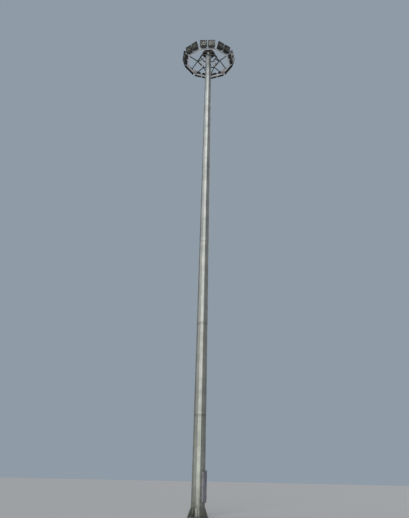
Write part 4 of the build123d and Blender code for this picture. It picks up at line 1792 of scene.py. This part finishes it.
@dataclass
class Studio:
    """Pale floor, soft light and the camera at the photograph's angle.

    Attributes:
        focal_px: Focal length in picture pixels.
        picture: Width and height of the picture in pixels.
        centre: Where the lens looks at in the picture, in pixels.
        distance: Distance of the camera from the mast.
        eye: Height of the camera.
        pitch: Angle that it looks up, in degrees.
        roll: Angle that it leans, in degrees.
        yaw: Angle that it looks past the mast, in degrees.
        around: Its direction round the mast from -Y, in degrees.
        suns: Name of each broad soft light, its direction round from the camera's side, its
            height above the horizon, its strength and the width of its disc, in degrees.
        backdrop: Colour that the camera sees behind the mast.
        sky: Colour of the light from all round.
        sky_strength: Its strength.
        floor_radius: Radius of the floor.
    """

    focal_px: float = 581.7
    picture: tuple[int, int] = (409, 518)
    centre: Point = (208.5, 259.0)
    distance: float = 28.49
    eye: float = 1.595
    pitch: float = 20.80
    roll: float = 1.185
    yaw: float = 0.499
    around: float = 3.1
    suns: tuple[tuple[str, float, float, float, float], ...] = (
        ("key_1", -9.0, 6.0, 0.67, 24.0),
        ("key_2", -9.0, 26.0, 0.4, 24.0),
        ("key_3", -9.0, 46.0, 0.56, 24.0),
        ("left_fill", -66.0, 32.0, 0.56, 40.0),
        ("back_fill", 150.0, 35.0, 0.5, 40.0),
    )
    backdrop: str = "#8F9BA6"
    sky: str = "#DDE4EE"
    sky_strength: float = 0.25
    floor_radius: float = 600.0

    def camera(self) -> None:
        """Makes the camera from the fitted angles."""
        width, height = self.picture
        longest = max(width, height)
        data = bpy.data.cameras.new("camera")
        data.sensor_fit = "AUTO"
        data.sensor_width = 36.0
        data.lens = self.focal_px / longest * data.sensor_width
        data.shift_x = (width / 2 - self.centre[0]) / longest
        data.shift_y = (self.centre[1] - height / 2) / longest
        data.clip_end = 2000.0
        camera = add_object("camera", data)
        turn = Matrix.Rotation(math.radians(self.around), 4, "Z")
        look = (
            Matrix.Rotation(math.radians(-self.yaw), 4, "Z")
            @ Matrix.Rotation(math.radians(90.0 + self.pitch), 4, "X")
            @ Matrix.Rotation(math.radians(self.roll), 4, "Z")
        )
        camera.matrix_world = turn @ shift(0.0, -self.distance, self.eye) @ look
        bpy.context.scene.camera = camera

    def lights(self) -> None:
        """Makes the broad soft lights, each from a far direction."""
        for name, azimuth, elevation, strength, spread in self.suns:
            data = bpy.data.lights.new(name, "SUN")
            data.energy = strength
            data.angle = math.radians(spread)
            light = add_object(name, data)
            angle = math.radians(azimuth + self.around - 90.0)
            rise = math.radians(elevation)
            level = math.cos(rise)
            source = Vector((math.cos(angle) * level, math.sin(angle) * level, math.sin(rise)))
            light.rotation_mode = "QUATERNION"
            light.rotation_quaternion = source.to_track_quat("Z", "Y")

    def world(self) -> None:
        """Makes the backdrop, and the weak light that comes from all round."""
        world = bpy.data.worlds.new("studio")
        bpy.context.scene.world = world
        world.use_nodes = True
        tree = world.node_tree
        tree.nodes.clear()
        seen = add_node(tree, "Background", {"Color": linear(self.backdrop), "Strength": 1.0})
        sky = {"Color": linear(self.sky), "Strength": self.sky_strength}
        light = add_node(tree, "Background", sky)
        to_camera = add_node(tree, "LightPath").outputs["Is Camera Ray"]
        mixed = add_node(tree, "MixShader", (to_camera, light, seen))
        add_node(tree, "OutputWorld", {"Surface": mixed})

    def floor(self) -> None:
        """Lays the floor."""
        disc = bmesh.new()
        bmesh.ops.create_circle(disc, cap_ends=True, radius=self.floor_radius, segments=64)
        mesh = bpy.data.meshes.new("floor")
        disc.to_mesh(mesh)
        disc.free()
        # Matt studio paper: a pale grey without shine that keeps shadows soft.
        paper = Finish(name="matt_paper", colour="#C9CACB", roughness=0.9)
        mesh.materials.append(paper.build())
        add_object("floor", mesh)

    def build(self) -> None:
        """Makes the background, the lights, the floor and the camera."""
        bpy.context.scene.view_settings.view_transform = "Standard"
        self.world()
        self.lights()
        self.floor()
        self.camera()


def main() -> None:
    """Builds the sub-assemblies in order."""
    logging.basicConfig(level=logging.INFO, format="%(message)s")
    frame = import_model()
    # Steel strands with dark grease between them: dull, with a fine slanting stripe.
    rope = WireRope(name="greased_wire_rope", colour="#6B6A66").build()
    shaft = Shaft()
    shaft.build(frame)
    Foot().build(frame, shaft)
    WinchDoor().build(frame, rope)
    Head().build(frame)
    RopeFalls().build(frame, rope)
    carriage = Carriage()
    carriage.build(frame)
    floodlight = Floodlight()
    floodlight.prepare()
    for number, (azimuth, offset) in enumerate(carriage.flood_places(), start=1):
        floodlight.build(frame, number, azimuth, offset)
    Studio().build()


if __name__ == "__main__":
    main()
